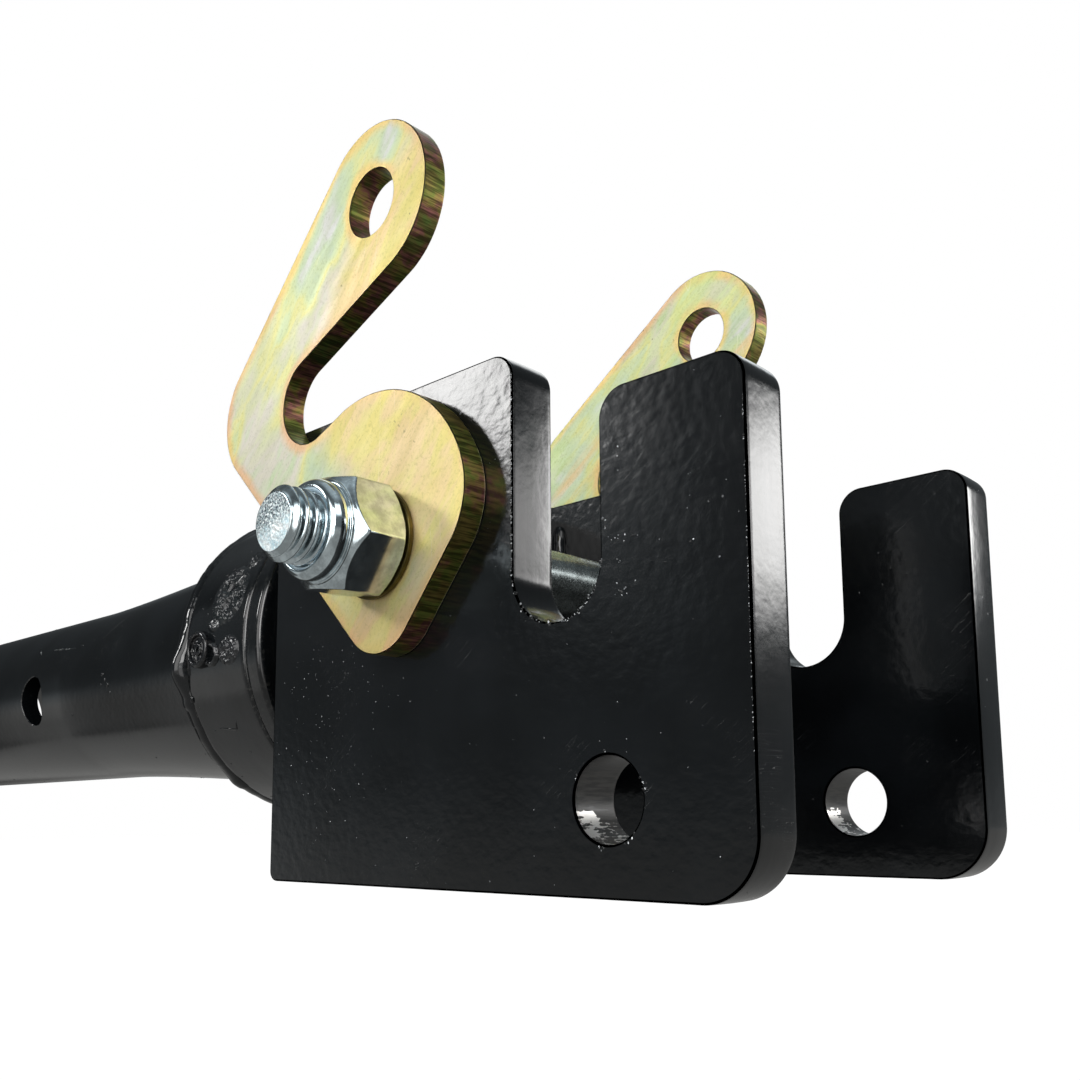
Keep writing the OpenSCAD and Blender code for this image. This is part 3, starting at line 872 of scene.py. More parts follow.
paint_right = black_paint("black_paint_right_plate", peel=1.75, dust=1.3, seed=0.0, rough=0.11,
                          shade=0.8, sagging=0.07, waves=0.10, drawn=0.10,
                          bore_y=(-INNER_Y, -OUTER_Y))
paint_left = black_paint("black_paint_left_plate", peel=1.3, dust=0.9, seed=0.31, shade=0.8,
                         sagging=0.2, waves=0.25, rear_lumps=0.4, drawn=0.16,
                         bore_y=(OUTER_Y, INNER_Y))
paint_tube = black_paint("black_paint_tube", peel=0.30, dust=0.9, seed=0.77, sagging=0.5)
paint_collar = black_paint("black_paint_collar", peel=0.7, dust=0.5, seed=0.53, rough=0.07)
paint_weld = black_paint("black_paint_weld", peel=0.35, dust=0.4, seed=0.93, rough=0.09)
# shade=1.5 and scuff=0.05 lighten this coat: partly painted sheen for the soft grey highlight on
# the rough weld, partly rubbed grey paint
paint_patch = black_paint("black_paint_weld_patch", peel=0.8, dust=0.4, seed=0.63, rough=0.15,
                          shade=1.5, scuff=0.05)
paint_scuffed = black_paint("black_paint_scuffed", peel=1.2, dust=0.4, seed=0.23, rough=0.22,
                            shade=2.0, scuff=0.6)
paint_inner = black_paint("black_paint_inner", peel=1.2, dust=0.6, seed=0.15)
LATCH_ZINC = {
    "right": yellow_zinc("yellow_zinc_right", seed=0.0, angle=46.8, streaking=0.35,
                         warm_and_shaded_below=PIVOT_Z - 8.0),
    "left": yellow_zinc("yellow_zinc_left", seed=0.43, angle=38.0, streaking=1.0),
}
zinc_bolt = bright_zinc("bright_zinc_bolt", seed=0.0, rough=0.10)
# bolt end: painted reflection in the colour, bright below and darker above, with painted glints
zinc_end = bright_zinc("bright_zinc_end", seed=0.2, rough=0.48, grain_and_painted_reflection=0.7)
# darker tint for the shank between the fork plates: painted shade; the rougher finish is the
# shank's own
zinc_shank_painted_shade = bright_zinc("bright_zinc_shank_painted_shade", seed=0.35, rough=0.22, tint=(0.34, 0.38, 0.38),
                         dark=0.6)
zinc_nut = bright_zinc("bright_zinc_nut", seed=0.5, rough=0.09)
zinc_hidden = bright_zinc("bright_zinc_hidden", seed=0.7, rough=0.22)
bronze_bush = bronze("bronze_bush")
# dim=0.45 darkens this copy of the bronze: painted shade on the bush, whose rim shows between the
# nut and the latch
bronze_rim_painted_shade = bronze("bronze_bush_rim_painted_shade", seed=0.2, dim=0.45)
nylon_insert = nylon("nylon_insert")
dust_material = dust_and_glint_grains("dust_and_glint_grains")
# brighter copy for every second nib: painted glints
painted_glint_material = dust_and_glint_grains("painted_glint_nibs", strength=1.9)

# --------------------------------------------------------------------------
# fork plates
# --------------------------------------------------------------------------


def fork_outline():
    """Anticlockwise outline with the slot open at the top."""
    points = fillet((REAR_X, REAR_TOP), (REAR_X, BASE_Z), (FRONT_X, BASE_Z), 2.5, 0.5)
    points += fillet((REAR_X, BASE_Z), (FRONT_X, BASE_Z), (FRONT_X, FRONT_TOP), 12, 0.6)
    points += fillet((FRONT_X, BASE_Z), (FRONT_X, FRONT_TOP), (SLOT_R, FRONT_TOP), 6, 0.5)
    points += fillet((FRONT_X, FRONT_TOP), (SLOT_R, FRONT_TOP), (SLOT_R, 0), 6, 0.5)
    points += arc(0, 0, SLOT_R, 0, -180, 0.6)
    points += fillet((-SLOT_R, 0), (-SLOT_R, REAR_TOP), (REAR_X, REAR_TOP), 6, 0.5)
    points += fillet((-SLOT_R, REAR_TOP), (REAR_X, REAR_TOP), (REAR_X, BASE_Z), 6, 0.5)
    return dense(points, 0.9)


def painted_wall(seed):
    """Painted cut wall: slightly barrelled, with faint runs and sags; weaker in the holes."""
    def displace(index, arc_length, depth):
        move = 0.10 * (4 * depth * (1 - depth) - 0.6)
        move += 0.016 * single_noise(arc_length * 0.035, depth * 7.0, seed * 3.1, seed)
        move += 0.012 * single_noise(arc_length * 0.22, depth * 3.0, 7.7, seed)
        move += 0.03 * single_noise(arc_length * 0.03, depth * 0.8, 2.0, seed)
        return move if index == 0 else 0.4 * move
    return displace


for side, sign in SIDES:
    y0, y1 = (-OUTER_Y, -INNER_Y) if sign < 0 else (INNER_Y, OUTER_Y)
    loops = [fork_outline(), hole(LOCK_X, LOCK_Z, LOCK_HOLE_R, 0.5),
             hole(PIVOT_X, PIVOT_Z, PIVOT_HOLE_R, 0.5)]
    obj = plate(side + "_fork_plate_body", loops, y0, y1, bevel=0.5, segments=4, rows=14,
                displace=painted_wall(1.0 if sign < 0 else 2.0))
    finish_black(obj, "fork", paint_right if sign < 0 else paint_left, side + "_fork_plate")

# --------------------------------------------------------------------------
# latches
# --------------------------------------------------------------------------

# The latch shape was measured while turned; this brings it back to its eye lying along x.
MEASURED_TURN = 92.9
LEVER_SIDE, THROAT_SIDE, THROAT_TANGENT, BOTTOM_SIDE, FRONT_SIDE, NOSE_START = (
    angle - MEASURED_TURN for angle in (46.8, 23.5, 16.9, -45.8, 47.1, 21.6))
EYE_R, HEEL_R, TOE_R, BACK_R, NOSE_R, THROAT_R = 19.3, 18, 12.4, 32.8, 18.3, 11.0


def unturned(x, y):
    angle = math.radians(-MEASURED_TURN)
    return (x * math.cos(angle) - y * math.sin(angle), x * math.sin(angle) + y * math.cos(angle))


def latch_outline():
    """Outline about the pivot with the lock pin eye on the x axis, made of tangent arcs."""
    step = 0.4
    heel, toe, back = unturned(-46.2, 42.5), unturned(0.4, -12.2), unturned(-3.6, 2.9)
    start = math.radians(NOSE_START)
    nose = (back[0] + (BACK_R - NOSE_R) * math.cos(start),
            back[1] + (BACK_R - NOSE_R) * math.sin(start))
    throat = (SEAT_REACH * math.cos(math.radians(THROAT_ANGLE)),
              SEAT_REACH * math.sin(math.radians(THROAT_ANGLE)))
    points = arc(LOCK_REACH, 0.0, EYE_R, THROAT_SIDE - 90, LEVER_SIDE + 90, step)
    points += arc(*heel, HEEL_R, LEVER_SIDE + 90, BOTTOM_SIDE + 270, step)
    points += arc(*toe, TOE_R, BOTTOM_SIDE + 270, FRONT_SIDE + 270, step)
    points += arc(*nose, NOSE_R, FRONT_SIDE - 90, NOSE_START, step)
    points += arc(*back, BACK_R, NOSE_START, THROAT_TANGENT + 90, step)
    points += arc(*throat, THROAT_R, THROAT_TANGENT + 270, THROAT_SIDE + 90, step)
    return dense(points, step)


def cut_wall(seed):
    """Cut wall with fine drag lines that lag through the thickness."""
    def displace(_, arc_length, depth):
        lag = 0.8 * depth * depth
        move = 0.045 * single_noise(arc_length * 1.1 + lag, seed, depth * 0.5, seed)
        move += 0.03 * single_noise(arc_length * 2.3 + lag * 1.6, seed + 3, depth * 0.9, seed)
        return move + 0.04 * single_noise(arc_length * 0.15, depth * 1.4, 4.0, seed)
    return displace


for side, sign in SIDES:
    turn = math.radians(LOCK_ANGLE + OPEN_ANGLE[side])
    cosine, sine = math.cos(turn), math.sin(turn)
    loops = [[(PIVOT_X + x * cosine - z * sine, PIVOT_Z + x * sine + z * cosine)
              for x, z in loop]
             for loop in (latch_outline(), hole(0, 0, LATCH_BORE_R, 0.5),
                          hole(LOCK_REACH, 0, LOCK_HOLE_R, 0.4))]
    near_y = OUTER_Y + LATCH_GAP
    y0, y1 = sorted((sign * near_y, sign * (near_y + LATCH_THICK)))
    obj = plate(side + "_latch_body", loops, y0, y1, bevel=0.22, segments=3, rows=9,
                displace=cut_wall(5.0 if sign < 0 else 9.0), inset=4.4)
    finish(obj, side + "_latch", "yellow_zinc", LATCH_ZINC[side], side + "_latch")

# --------------------------------------------------------------------------
# bolt, nut, insert and bushes
# --------------------------------------------------------------------------


def lobed(radius, depth, lobes, phase=0):
    """Radius function of a circle with shallow lobes."""
    return lambda angle: radius + depth * math.sin(lobes * angle + phase)


def hexagon(*limits):
    """Radius function of a hexagon turned down to each (radius, blend) limit."""
    def radius(angle):
        size = HEX_FLATS / 2 / math.cos((angle % (math.pi / 3)) - math.pi / 6)
        for limit, blend in limits:
            size = blend_min(size, limit, blend)
        return size
    return radius


def thread_radius(along, angle):
    """60 degree thread with rounded crest and root."""
    phase = (along / PITCH - angle / (2 * math.pi)) % 1.0
    fall = abs(phase - 0.5) * 2  # 0 at the crest, 1 at the root
    if fall < 0.16:
        height = 1.0
    elif fall > 0.86:
        height = 0.0
    else:
        height = 1 - (fall - 0.16) / 0.70
    height = ease(height) * 0.55 + height * 0.45
    return BOLT_R - THREAD_DEPTH * (1 - height)


def threaded(y, thread_end):
    """Radius function of the thread at y: coned at the free end, running out at thread_end."""
    def radius(angle):
        size = thread_radius(BOLT_END - y, angle)
        size += 0.03 * single_noise(3 * math.cos(angle), 3 * math.sin(angle), y, 61)
        run_out = ease((y - thread_end) / 3.0)
        size = size * run_out + BOLT_R * (1 - run_out)
        return blend_min(size, 6.6 + (BOLT_END - y - 0.7) * 1.5, 0.35)
    return radius


def bolt_rows():
    rows = []
    # free end: flat face with a soft rim, then the chamfered thread
    for k in range(25):
        size = 0.02 + 6.05 * k / 24
        rows.append((BOLT_END - 0.006 * size * size, lobed(size, 0.05 * size / 6, 3, 1)))
    for degrees in (22, 45, 68, 90):
        turn = math.radians(degrees)
        rows.append((BOLT_END - 0.23 - 0.34 * (1 - math.cos(turn)),
                     lobed(6.08 + 0.42 * math.sin(turn), 0.04, 5)))
    thread_end = OUTER_Y - 2.0
    y = BOLT_END - 0.75
    while y > thread_end:
        rows.append((y, threaded(y, thread_end)))
        y -= PITCH / 14
    rows.append((thread_end - 0.2, BOLT_R))
    # shank end and washer face: distance beyond the head seat, radius
    rows += [(-(NUT_SEAT_Y + beyond), radius) for beyond, radius in (
        (-0.6, BOLT_R), (-0.25, BOLT_R + 0.1), (0.0, BOLT_R + 0.4),
        (0.001, 10.9), (0.05, 11.1), (0.5, 11.15))]
    # hexagon with turned corners
    count = 26
    for i in range(count + 1):
        y = NUT_SEAT_Y + 0.55 + (HEAD_HEIGHT - 0.55) * i / count
        top = 11.4 + (NUT_SEAT_Y + HEAD_HEIGHT - y) / 0.58
        bottom = 11.6 + (y - NUT_SEAT_Y - 0.5) * 4.0
        rows.append((-y, hexagon((top, 0.5), (bottom, 0.3))))
    # dished top of the head: radius, height
    rows += [(-(NUT_SEAT_Y + HEAD_HEIGHT + rise), radius) for radius, rise in (
        (11.0, 0.0), (10.0, 0.0), (7.5, -0.15), (4.0, -0.2), (1.5, -0.2), (0.02, -0.2))]
    return rows


def make_bolt():
    columns = 120
    rows = bolt_rows()
    shape = turned_body(rows, columns, y=0)
    # coarse sheared grain on the free end
    for i, (x, y, z) in enumerate(shape.verts):
        radius = math.hypot(x - PIVOT_X, z - PIVOT_Z)
        if y < -(BOLT_END - 0.4) and radius < 6.2:
            grain = 0.10 * fractal(x * 1.9, z * 1.9, 0.0, 63.0) + 0.05
            shape.verts[i] = (x, y + ease((6.2 - radius) / 0.5) * grain, z)
    last = (len(rows) - 1) * columns
    shape.face(range(columns))
    shape.face(range(last, last + columns), flip=True)
    obj = shape.build("pivot_bolt_body", outward=True)
    finish(obj, "fork", "bright_zinc", zinc_bolt, "pivot_bolt")
    obj.data.materials.append(zinc_end)
    obj.data.materials.append(zinc_shank_painted_shade)
    for polygon in obj.data.polygons:
        centre = polygon.center
        radius = math.hypot(centre.x - PIVOT_X * MM, centre.z - PIVOT_Z * MM)
        if centre.y < -(BOLT_END - 0.30) * MM and radius < 6.1 * MM:
            polygon.material_index = 1
        # the shank between the plates takes the darker zinc: painted shade
        if abs(centre.y) < (INNER_Y + 6) * MM:
            polygon.material_index = 2


def make_nut():
    """Lock nut: hexagon with both ends turned, round collar rolled in over the insert."""
    hex_height = NUT_HEIGHT - 4.4
    rows = [(0.0, 8.3), (0.0, 9.2), (0.0, 10.4)]  # bearing face, from the bore outwards
    count = 44
    for i in range(count + 1):
        along = hex_height * (i / count)
        bottom, top = 11.3 + along * 1.25, 11.15 + (hex_height - along) * 1.12
        rows.append((along, hexagon((bottom, 0.25), (top, 0.22))))
    # shoulder and collar: height above the hexagon, radius
    rows += [(hex_height + rise, radius) for rise, radius in (
        (0.02, 11.2), (0.03, 10.75), (0.10, 10.45), (0.35, 10.35), (0.60, 10.45),
        (0.80, 10.70), (1.10, 10.80), (1.90, 10.80))]
    for degrees in range(10, 100, 10):
        turn = math.radians(degrees)
        rows.append((NUT_HEIGHT - 2.3 + 2.3 * math.sin(turn), 8.95 + 1.85 * math.cos(turn)))
    # lip, recess for the insert and bore: depth below the top, radius
    rows += [(NUT_HEIGHT - depth, radius) for depth, radius in (
        (0.02, 8.85), (0.25, 8.72), (0.55, 8.75), (0.75, 8.95), (4.6, 8.95), (4.62, 8.10))]
    rows.append((0.6, 8.10))
    shape = turned_body(rows, 240, y=-NUT_SEAT_Y, turn=NUT_TURN, closed=True)
    obj = shape.build("lock_nut_body", outward=True)
    finish(obj, "fork", "bright_zinc", zinc_nut, "lock_nut")


def make_insert():
    top = -NUT_SEAT_Y - NUT_HEIGHT
    profile = rounded([(top + 4.5, 8.02, 0.1), (top + 4.5, 8.9, 0.1), (top + 0.62, 8.9, 0.15),
                       (top + 0.30, 8.45, 0.25), (top + 0.9, 8.02, 0.1)], 0.1)
    obj = ring("lock_nut_insert_ring", profile, 96, cross=(PIVOT_X, PIVOT_Z))
    finish(obj, "fork", "nylon", nylon_insert, "lock_nut_insert")


def make_latch_bush(side, sign):
    """Bush through the latch with a wider rim at its outer end."""
    bore, barrel, rim = 8.05, 11.0, 12.5
    start, shoulder, end = (sign * y for y in (
        OUTER_Y + 0.01, NUT_SEAT_Y - 1.2, NUT_SEAT_Y - 0.01))
    profile = rounded([(start, bore, 0.2), (start, barrel, 0.2), (shoulder, barrel, 0.0),
                       (shoulder, rim, 0.25), (end, rim, 0.3), (end, bore, 0.2)], 0.08)
    obj = ring(side + "_latch_bush_ring", profile, 128, cross=(PIVOT_X, PIVOT_Z))
    # darkened bronze: painted shade on the rim between the nut and the latch
    finish(obj, "fork", "bronze", bronze_rim_painted_shade, side + "_latch_bush")


make_bolt()
make_nut()
make_insert()
for side, sign in SIDES:
    make_latch_bush(side, sign)

# --------------------------------------------------------------------------
# swivel: flange, hub, housing, rear plate, beads
# --------------------------------------------------------------------------

PROFILE_STEP = 0.25
HUB_BORE_R, HUB_R = 18.0, 29.0
# profile corners: x, radius, corner radius
FLANGE_PROFILE = [
    (FLANGE_REAR, HUB_BORE_R, 0.3), (FLANGE_REAR, FLANGE_R, 0.9),
    (FLANGE_FRONT, FLANGE_R, 1.9), (FLANGE_FRONT, HUB_BORE_R, 0.3),
]
HUB_PROFILE = [
    (FLANGE_FRONT + 0.01, HUB_BORE_R, 0.3), (FLANGE_FRONT + 0.01, HUB_R, 0.4),
    (REAR_X - 0.05, HUB_R, 1.5), (REAR_X - 0.05, HUB_BORE_R, 0.3),
]
HOUSING_PROFILE = [
    (HOUSING_FRONT, 36.0, 0.5), (HOUSING_FRONT, HOUSING_R, 1.3), (HOUSING_REAR, HOUSING_R, 0.3),
    (HOUSING_REAR, 25.9, 0.3), (HOUSING_TAIL, 25.9, 0.5), (HOUSING_TAIL, 22.05, 0.4),
    (FLANGE_REAR - 3.1, 22.05, 0.3), (FLANGE_REAR - 3.1, 36.0, 0.3),
]
REAR_PLATE_PROFILE = [
    (REAR_PLATE_REAR, BELL_R, 0.2), (REAR_PLATE_REAR, REAR_PLATE_R, 0.8),
    (TUBE_FRONT, REAR_PLATE_R, 0.4), (TUBE_FRONT, BELL_R, 0.2),
]


def collar_waves(along, radius, angle, outward):
    """Slow waves of a thick coat on the outer wall only."""
    if radius < HOUSING_R - 1.5 or outward[1] < 0.6:
        return 0.0
    return 0.05 * fractal(along * 0.10, math.cos(angle) * 4, math.sin(angle) * 4, 3.0)


finish_black(ring("swivel_flange_ring", rounded(FLANGE_PROFILE, PROFILE_STEP), 288),
             "fork", paint_collar, "swivel_flange")
finish_black(ring("swivel_hub_boss", rounded(HUB_PROFILE, PROFILE_STEP), 192),
             "fork", paint_inner, "swivel_hub")
finish_black(ring("swivel_housing_ring", dense(rounded(HOUSING_PROFILE, PROFILE_STEP), 1.2), 300,
                  collar_waves), "shank", paint_collar, "swivel_housing")
finish_black(ring("housing_rear_plate_ring", rounded(REAR_PLATE_PROFILE, PROFILE_STEP), 192),
             "shank", paint_collar, "housing_rear_plate")


def weld_bead(name, x, radius, half_width, half_height, tilt, seed, ripple, lumps,
              swells=(), ripple_depth=0.10, lump_scale=0.28, uneven=1.0):
    """Bead round the X axis: a tilted oval section with ripples, uneven width and lumps.

    swells are (angle, width, height) rows, both angles in degrees.
    """
    segments, around = 900, 22
    shape = Shape()
    for k in range(segments):
        angle = 2 * math.pi * k / segments
        cosine, sine = math.cos(angle), math.sin(angle)
        wander = 0.22 * uneven * fractal(cosine * 5, sine * 5, 0.0, seed)
        width = 1 + 0.22 * uneven * fractal(cosine * 8, sine * 8, 3.0, seed + 1)
        height = 1 + 0.30 * uneven * fractal(cosine * 10, sine * 10, 6.0, seed + 2)
        swell = 0.0
        for swell_angle, swell_width, swell_height in swells:
            apart = (math.degrees(angle) - swell_angle + 180) % 360 - 180
            swell += swell_height * math.exp(-abs(apart / swell_width) ** 2.3)
        for i in range(around):
            turn = 2 * math.pi * i / around
            across, out = math.cos(turn), math.sin(turn)
            phase = ((angle * radius) / ripple + 0.9 * across * across
                     + 0.6 * single_noise(cosine * 6, sine * 6, 9.0, seed))
            groove = 1 - abs(math.sin(math.pi * phase)) ** 0.6
            size = 1 + (ripple_depth * groove - ripple_depth / 2)
            lump = lumps * fractal(cosine * radius * lump_scale, sine * radius * lump_scale,
                                   across * 1.2 + out, seed + 5)
            u = half_width * width * across * size + wander + lump * across
            u -= swell * 0.45 * (1 - across) * 0.5
            v = half_height * height + swell * max(0.0, 0.35 + 0.65 * out)
            v = v * out * size + lump * out * 0.8
            reach = radius + (u * math.sin(tilt) + v * math.cos(tilt))
            shape.add((x + (u * math.cos(tilt) - v * math.sin(tilt)),
                       reach * cosine, reach * sine))
    shape.bands(0, segments, around, closed=True)
    return shape.build(name, outward=True)


finish_black(weld_bead("housing_rim_weld_bead", HOUSING_REAR - 2.7, REAR_PLATE_R + 0.5,
                       half_width=3.1, half_height=1.5, tilt=0.10, seed=1.0, ripple=3.4,
                       lumps=0.13, ripple_depth=0.010, lump_scale=0.08, uneven=0.5,
                       swells=((187, 7.5, 2.4), (120, 5, 0.3), (200, 1.8, 0.5),
                               (236, 3, 0.5), (320, 5, 0.5))),
             "shank", paint_weld, "housing_rim_weld")
finish_black(weld_bead("tube_weld_bead", REAR_PLATE_REAR - 1.2, BELL_R + 1.4, half_width=3.2,
                       half_height=1.9, tilt=0.55, seed=4.0, ripple=2.4, lumps=0.22),
             "shank", paint_weld, "tube_weld")

# raised zones of the weld patch: angle, half width in degrees, x, half width in x, height
PATCH_ZONES = (
    (162.0, 13.0, HOUSING_FRONT - 11.5, 9.5, 1.0), (183.0, 6.0, HOUSING_FRONT - 8.0, 6.0, 0.95),
    (148.0, 5.5, HOUSING_FRONT - 6.5, 5.5, 0.55), (173.0, 3.2, HOUSING_FRONT - 16.5, 3.4, 0.8),
)
PATCH_ANGLES = (140.0, 192.0)
PATCH_X = (HOUSING_FRONT - 1.6, HOUSING_FRONT - 24.0)
PATCH_RING_X, PATCH_RING_ANGLE, PATCH_RING_R = HOUSING_FRONT - 16.7, 183.6, 2.7


def patch_height(x, degrees, margin):
    """Height over the housing; margin is the distance to the patch border as a share."""
    around = HOUSING_R * math.radians(degrees)
    mound = 0.0
    for zone_angle, zone_spread, zone_x, zone_width, strength in PATCH_ZONES:
        mound = max(mound, strength * max(0.0, 1 - ((degrees - zone_angle) / zone_spread) ** 2
                                          - ((x - zone_x) / zone_width) ** 2))
    lump = fractal(around * 0.30, x * 0.32, 1.0, 21.0)
    grit = abs(single_noise(around * 0.75, x * 0.75, 0, 23.0))
    fade = ease((HOUSING_FRONT - 13.0 - x) / 6.0) if degrees < 172 else 0.0
    height = (-0.30 + 0.55 * ease(mound * 2.2)
              + mound * (0.95 * lump + 0.9 * grit) * (1 - 0.8 * fade))
    # lumpy ring
    off_x = x - PATCH_RING_X
    off_around = HOUSING_R * math.radians(degrees - PATCH_RING_ANGLE)
    from_ring = math.hypot(off_x, off_around) - PATCH_RING_R
    width = 0.85 * (1 + 0.35 * single_noise(off_x, off_around, 3.0, 25.0))
    if abs(from_ring) < width:
        crest = 1.25 * math.sqrt(max(0.0, 1 - (from_ring / width) ** 2))
        uneven = 1 + 0.4 * single_noise(off_x * 0.8, off_around * 0.8, 1, 27.0)
        height = max(height, -0.3 + crest * uneven)
    return min(height, -0.30 + margin * 12)


def weld_patch():
    """Rough build-up of weld and spatter on the -Y side of the housing, with a lumpy ring."""
    columns, rows = 170, 90
    top, bottom = [], []
    for j in range(rows + 1):
        v = j / rows
        x = PATCH_X[0] + (PATCH_X[1] - PATCH_X[0]) * v
        for i in range(columns + 1):
            u = i / columns
            degrees = PATCH_ANGLES[0] + (PATCH_ANGLES[1] - PATCH_ANGLES[0]) * u
            cosine, sine = math.cos(math.radians(degrees)), math.sin(math.radians(degrees))
            radius = HOUSING_R + patch_height(x, degrees, min(u, 1 - u, v, 1 - v))
            top.append((x, radius * cosine, radius * sine))
            bottom.append((x, (HOUSING_R - 1.0) * cosine, (HOUSING_R - 1.0) * sine))
    shape = Shape()
    for point in top + bottom:
        shape.add(point)
    width, under = columns + 1, len(top)
    for j in range(rows):
        for i in range(columns):
            quad = (j * width + i, j * width + i + 1,
                    (j + 1) * width + i + 1, (j + 1) * width + i)
            shape.face(quad)
            shape.face((under + k for k in quad), flip=True)
    border = list(range(width))
    border += [j * width + columns for j in range(1, rows + 1)]
    border += [rows * width + i for i in range(columns - 1, -1, -1)]
    border += [j * width for j in range(rows - 1, 0, -1)]
    for k, here in enumerate(border):
        after = border[(k + 1) % len(border)]
        shape.face((here, under + here, under + after, after))
    return shape.build("housing_weld_patch", outward=True)


finish_black(weld_patch(), "shank", paint_patch)

# distance from the housing axis beyond its wall, radius, corner radius
NIPPLE_PROFILE = [
    (-8.5, 0.9, 0.1), (-8.5, 2.9, 0.2), (-0.6, 2.9, 0.2), (-0.6, 5.45, 0.3), (1.9, 5.35, 0.75),
    (1.9, 4.0, 0.5), (0.7, 3.8, 0.4), (0.75, 1.9, 0.3), (1.4, 1.6, 0.4), (1.5, 0.6, 0.2),
    (0.6, 0.9, 0.1),
]


def nipple_paint(along, radius, angle, _):
    """Uneven thick paint outside the housing wall, lumpier inside the rim."""
    out = abs(along)
    if out < HOUSING_R:
        return 0.0
    cosine, sine = math.cos(angle), math.sin(angle)
    move = 0.07 * fractal(out * 0.7, cosine * 1.8, sine * 1.8, 31.0)
    if radius < 3.9 and out < HOUSING_R + 1.3:
        lump = single_noise(radius * cosine * 0.9, radius * sine * 0.9, 2.0, 33.0)
        move += 0.55 * max(0.0, lump - 0.05)
    return move


def grease_nipple():
    """Grease nipple under thick paint: a round rim with the ball seat sunk inside it."""
    corners = [(HOUSING_R + out, radius, soft) for out, radius, soft in NIPPLE_PROFILE]
    profile = [(-out, radius) for out, radius in dense(rounded(corners, 0.12), 0.3)]
    return ring("grease_nipple_body", profile, 96, nipple_paint, cross=(NIPPLE_X, NIPPLE_Z))


finish_black(grease_nipple(), "shank", paint_weld, "grease_nipple")

# --------------------------------------------------------------------------
# shank tube with its cross hole
# --------------------------------------------------------------------------


def tube_radius(x):
    """Outer radius, belled towards the housing."""
    share = (REAR_PLATE_REAR - x) / BELL_LENGTH
    if share >= 1:
        return TUBE_R
    return TUBE_R + (BELL_R - TUBE_R) * (1 - max(0.0, share)) ** BELL_POWER


def tube_wall(shape, radius_of, stations, outer):
    """One wall unrolled along the angle, with the two mouths of the cross hole left free."""
    level = radius_of(HOLE_X)
    mouth = HOLE_R + HOLE_BEVEL
    angles = [math.pi / 2 + 2 * math.pi * i / TUBE_SEGMENTS for i in range(TUBE_SEGMENTS + 1)]
    points, edges, index = [], [], {}
    for i, x in enumerate(stations):
        for j, angle in enumerate(angles):
            off_centre = math.hypot(x - HOLE_X, level * math.sin(angle))
            if abs(math.cos(angle)) > 0.5 and off_centre < mouth + 0.9:
                continue
            index[(i, j)] = len(points)
            points.append(Vector((x, angle * level)))
    for i in range(len(stations) - 1):
        for j in (0, TUBE_SEGMENTS):
            edges.append((index[(i, j)], index[(i + 1, j)]))
    for j in range(TUBE_SEGMENTS):
        for i in (0, len(stations) - 1):
            edges.append((index[(i, j)], index[(i, j + 1)]))
    count = TUBE_HOLE_SEGMENTS
    for side in (-1, 1):
        start = len(points)
        for k in range(count):
            turn = 2 * math.pi * k / count
            lift = math.asin(mouth * math.sin(turn) / level)
            angle = math.pi - lift if side < 0 else 2 * math.pi + lift
            points.append(Vector((HOLE_X + mouth * math.cos(turn), angle * level)))
        edges += [(start + k, start + (k + 1) % count) for k in range(count)]
    result = geometry.delaunay_2d_cdt(points, edges, [], 0, 1e-7)
    flat, triangles = result[0], result[2]

    base = len(shape.verts)
    facing = 1.0 if outer else -1.0
    for point in flat:
        x, angle = point.x, point.y / level
        radius = radius_of(x)
        slope = radius_of(x + 0.5) - radius_of(x - 0.5)
        cosine, sine = math.cos(angle), math.sin(angle)
        shape.add((x, radius * cosine, radius * sine),
                  (-facing * slope, facing * cosine, facing * sine), edge=0.0)
    for corners in triangles:
        x = sum(flat[i].x for i in corners) / len(corners)
        around = sum(flat[i].y for i in corners) / len(corners)
        offsets = [around - centre * level for centre in (math.pi, 2 * math.pi)]
        if any(abs(offset) < 20 and
               math.hypot(x - HOLE_X, level * math.sin(offset / level)) < mouth - 0.02
               for offset in offsets):
            continue
        a, b, c = (flat[i] for i in corners[:3])
        winding = (b.x - a.x) * (c.y - a.y) - (b.y - a.y) * (c.x - a.x)
        shape.face((base + i for i in corners), flip=(winding > 0) == outer)


def tube_hole(shape, side):
    """Rounded mouths and the wall of the cross hole on one side."""
    segments = 5
    quarter = [math.pi / 2 * k / segments for k in range(segments + 1)]
    rings = [(TUBE_R, 1.0, turn) for turn in quarter]
    rings += [(TUBE_BORE_R, -1.0, turn) for turn in reversed(quarter)]
    base = len(shape.verts)
    for wall_radius, facing, turn in rings:
        radius = HOLE_R + HOLE_BEVEL * (1 - math.sin(turn))
        depth = HOLE_BEVEL * (1 - math.cos(turn))
        for k in range(TUBE_HOLE_SEGMENTS):
            angle = 2 * math.pi * k / TUBE_HOLE_SEGMENTS
            z = radius * math.sin(angle)
            surface_y = math.sqrt(wall_radius * wall_radius - z * z)
            out_y, out_z = surface_y / wall_radius, z / wall_radius
            normal = (-math.cos(angle) * math.sin(turn), side * facing * out_y * math.cos(turn),
                      -math.sin(angle) * math.sin(turn) + facing * out_z * math.cos(turn))
            shape.add((HOLE_X + radius * math.cos(angle),
                       side * (surface_y - facing * depth * out_y), z),
                      normal, edge=math.sin(2 * turn))
    shape.bands(base, len(rings), TUBE_HOLE_SEGMENTS, flip=side < 0)


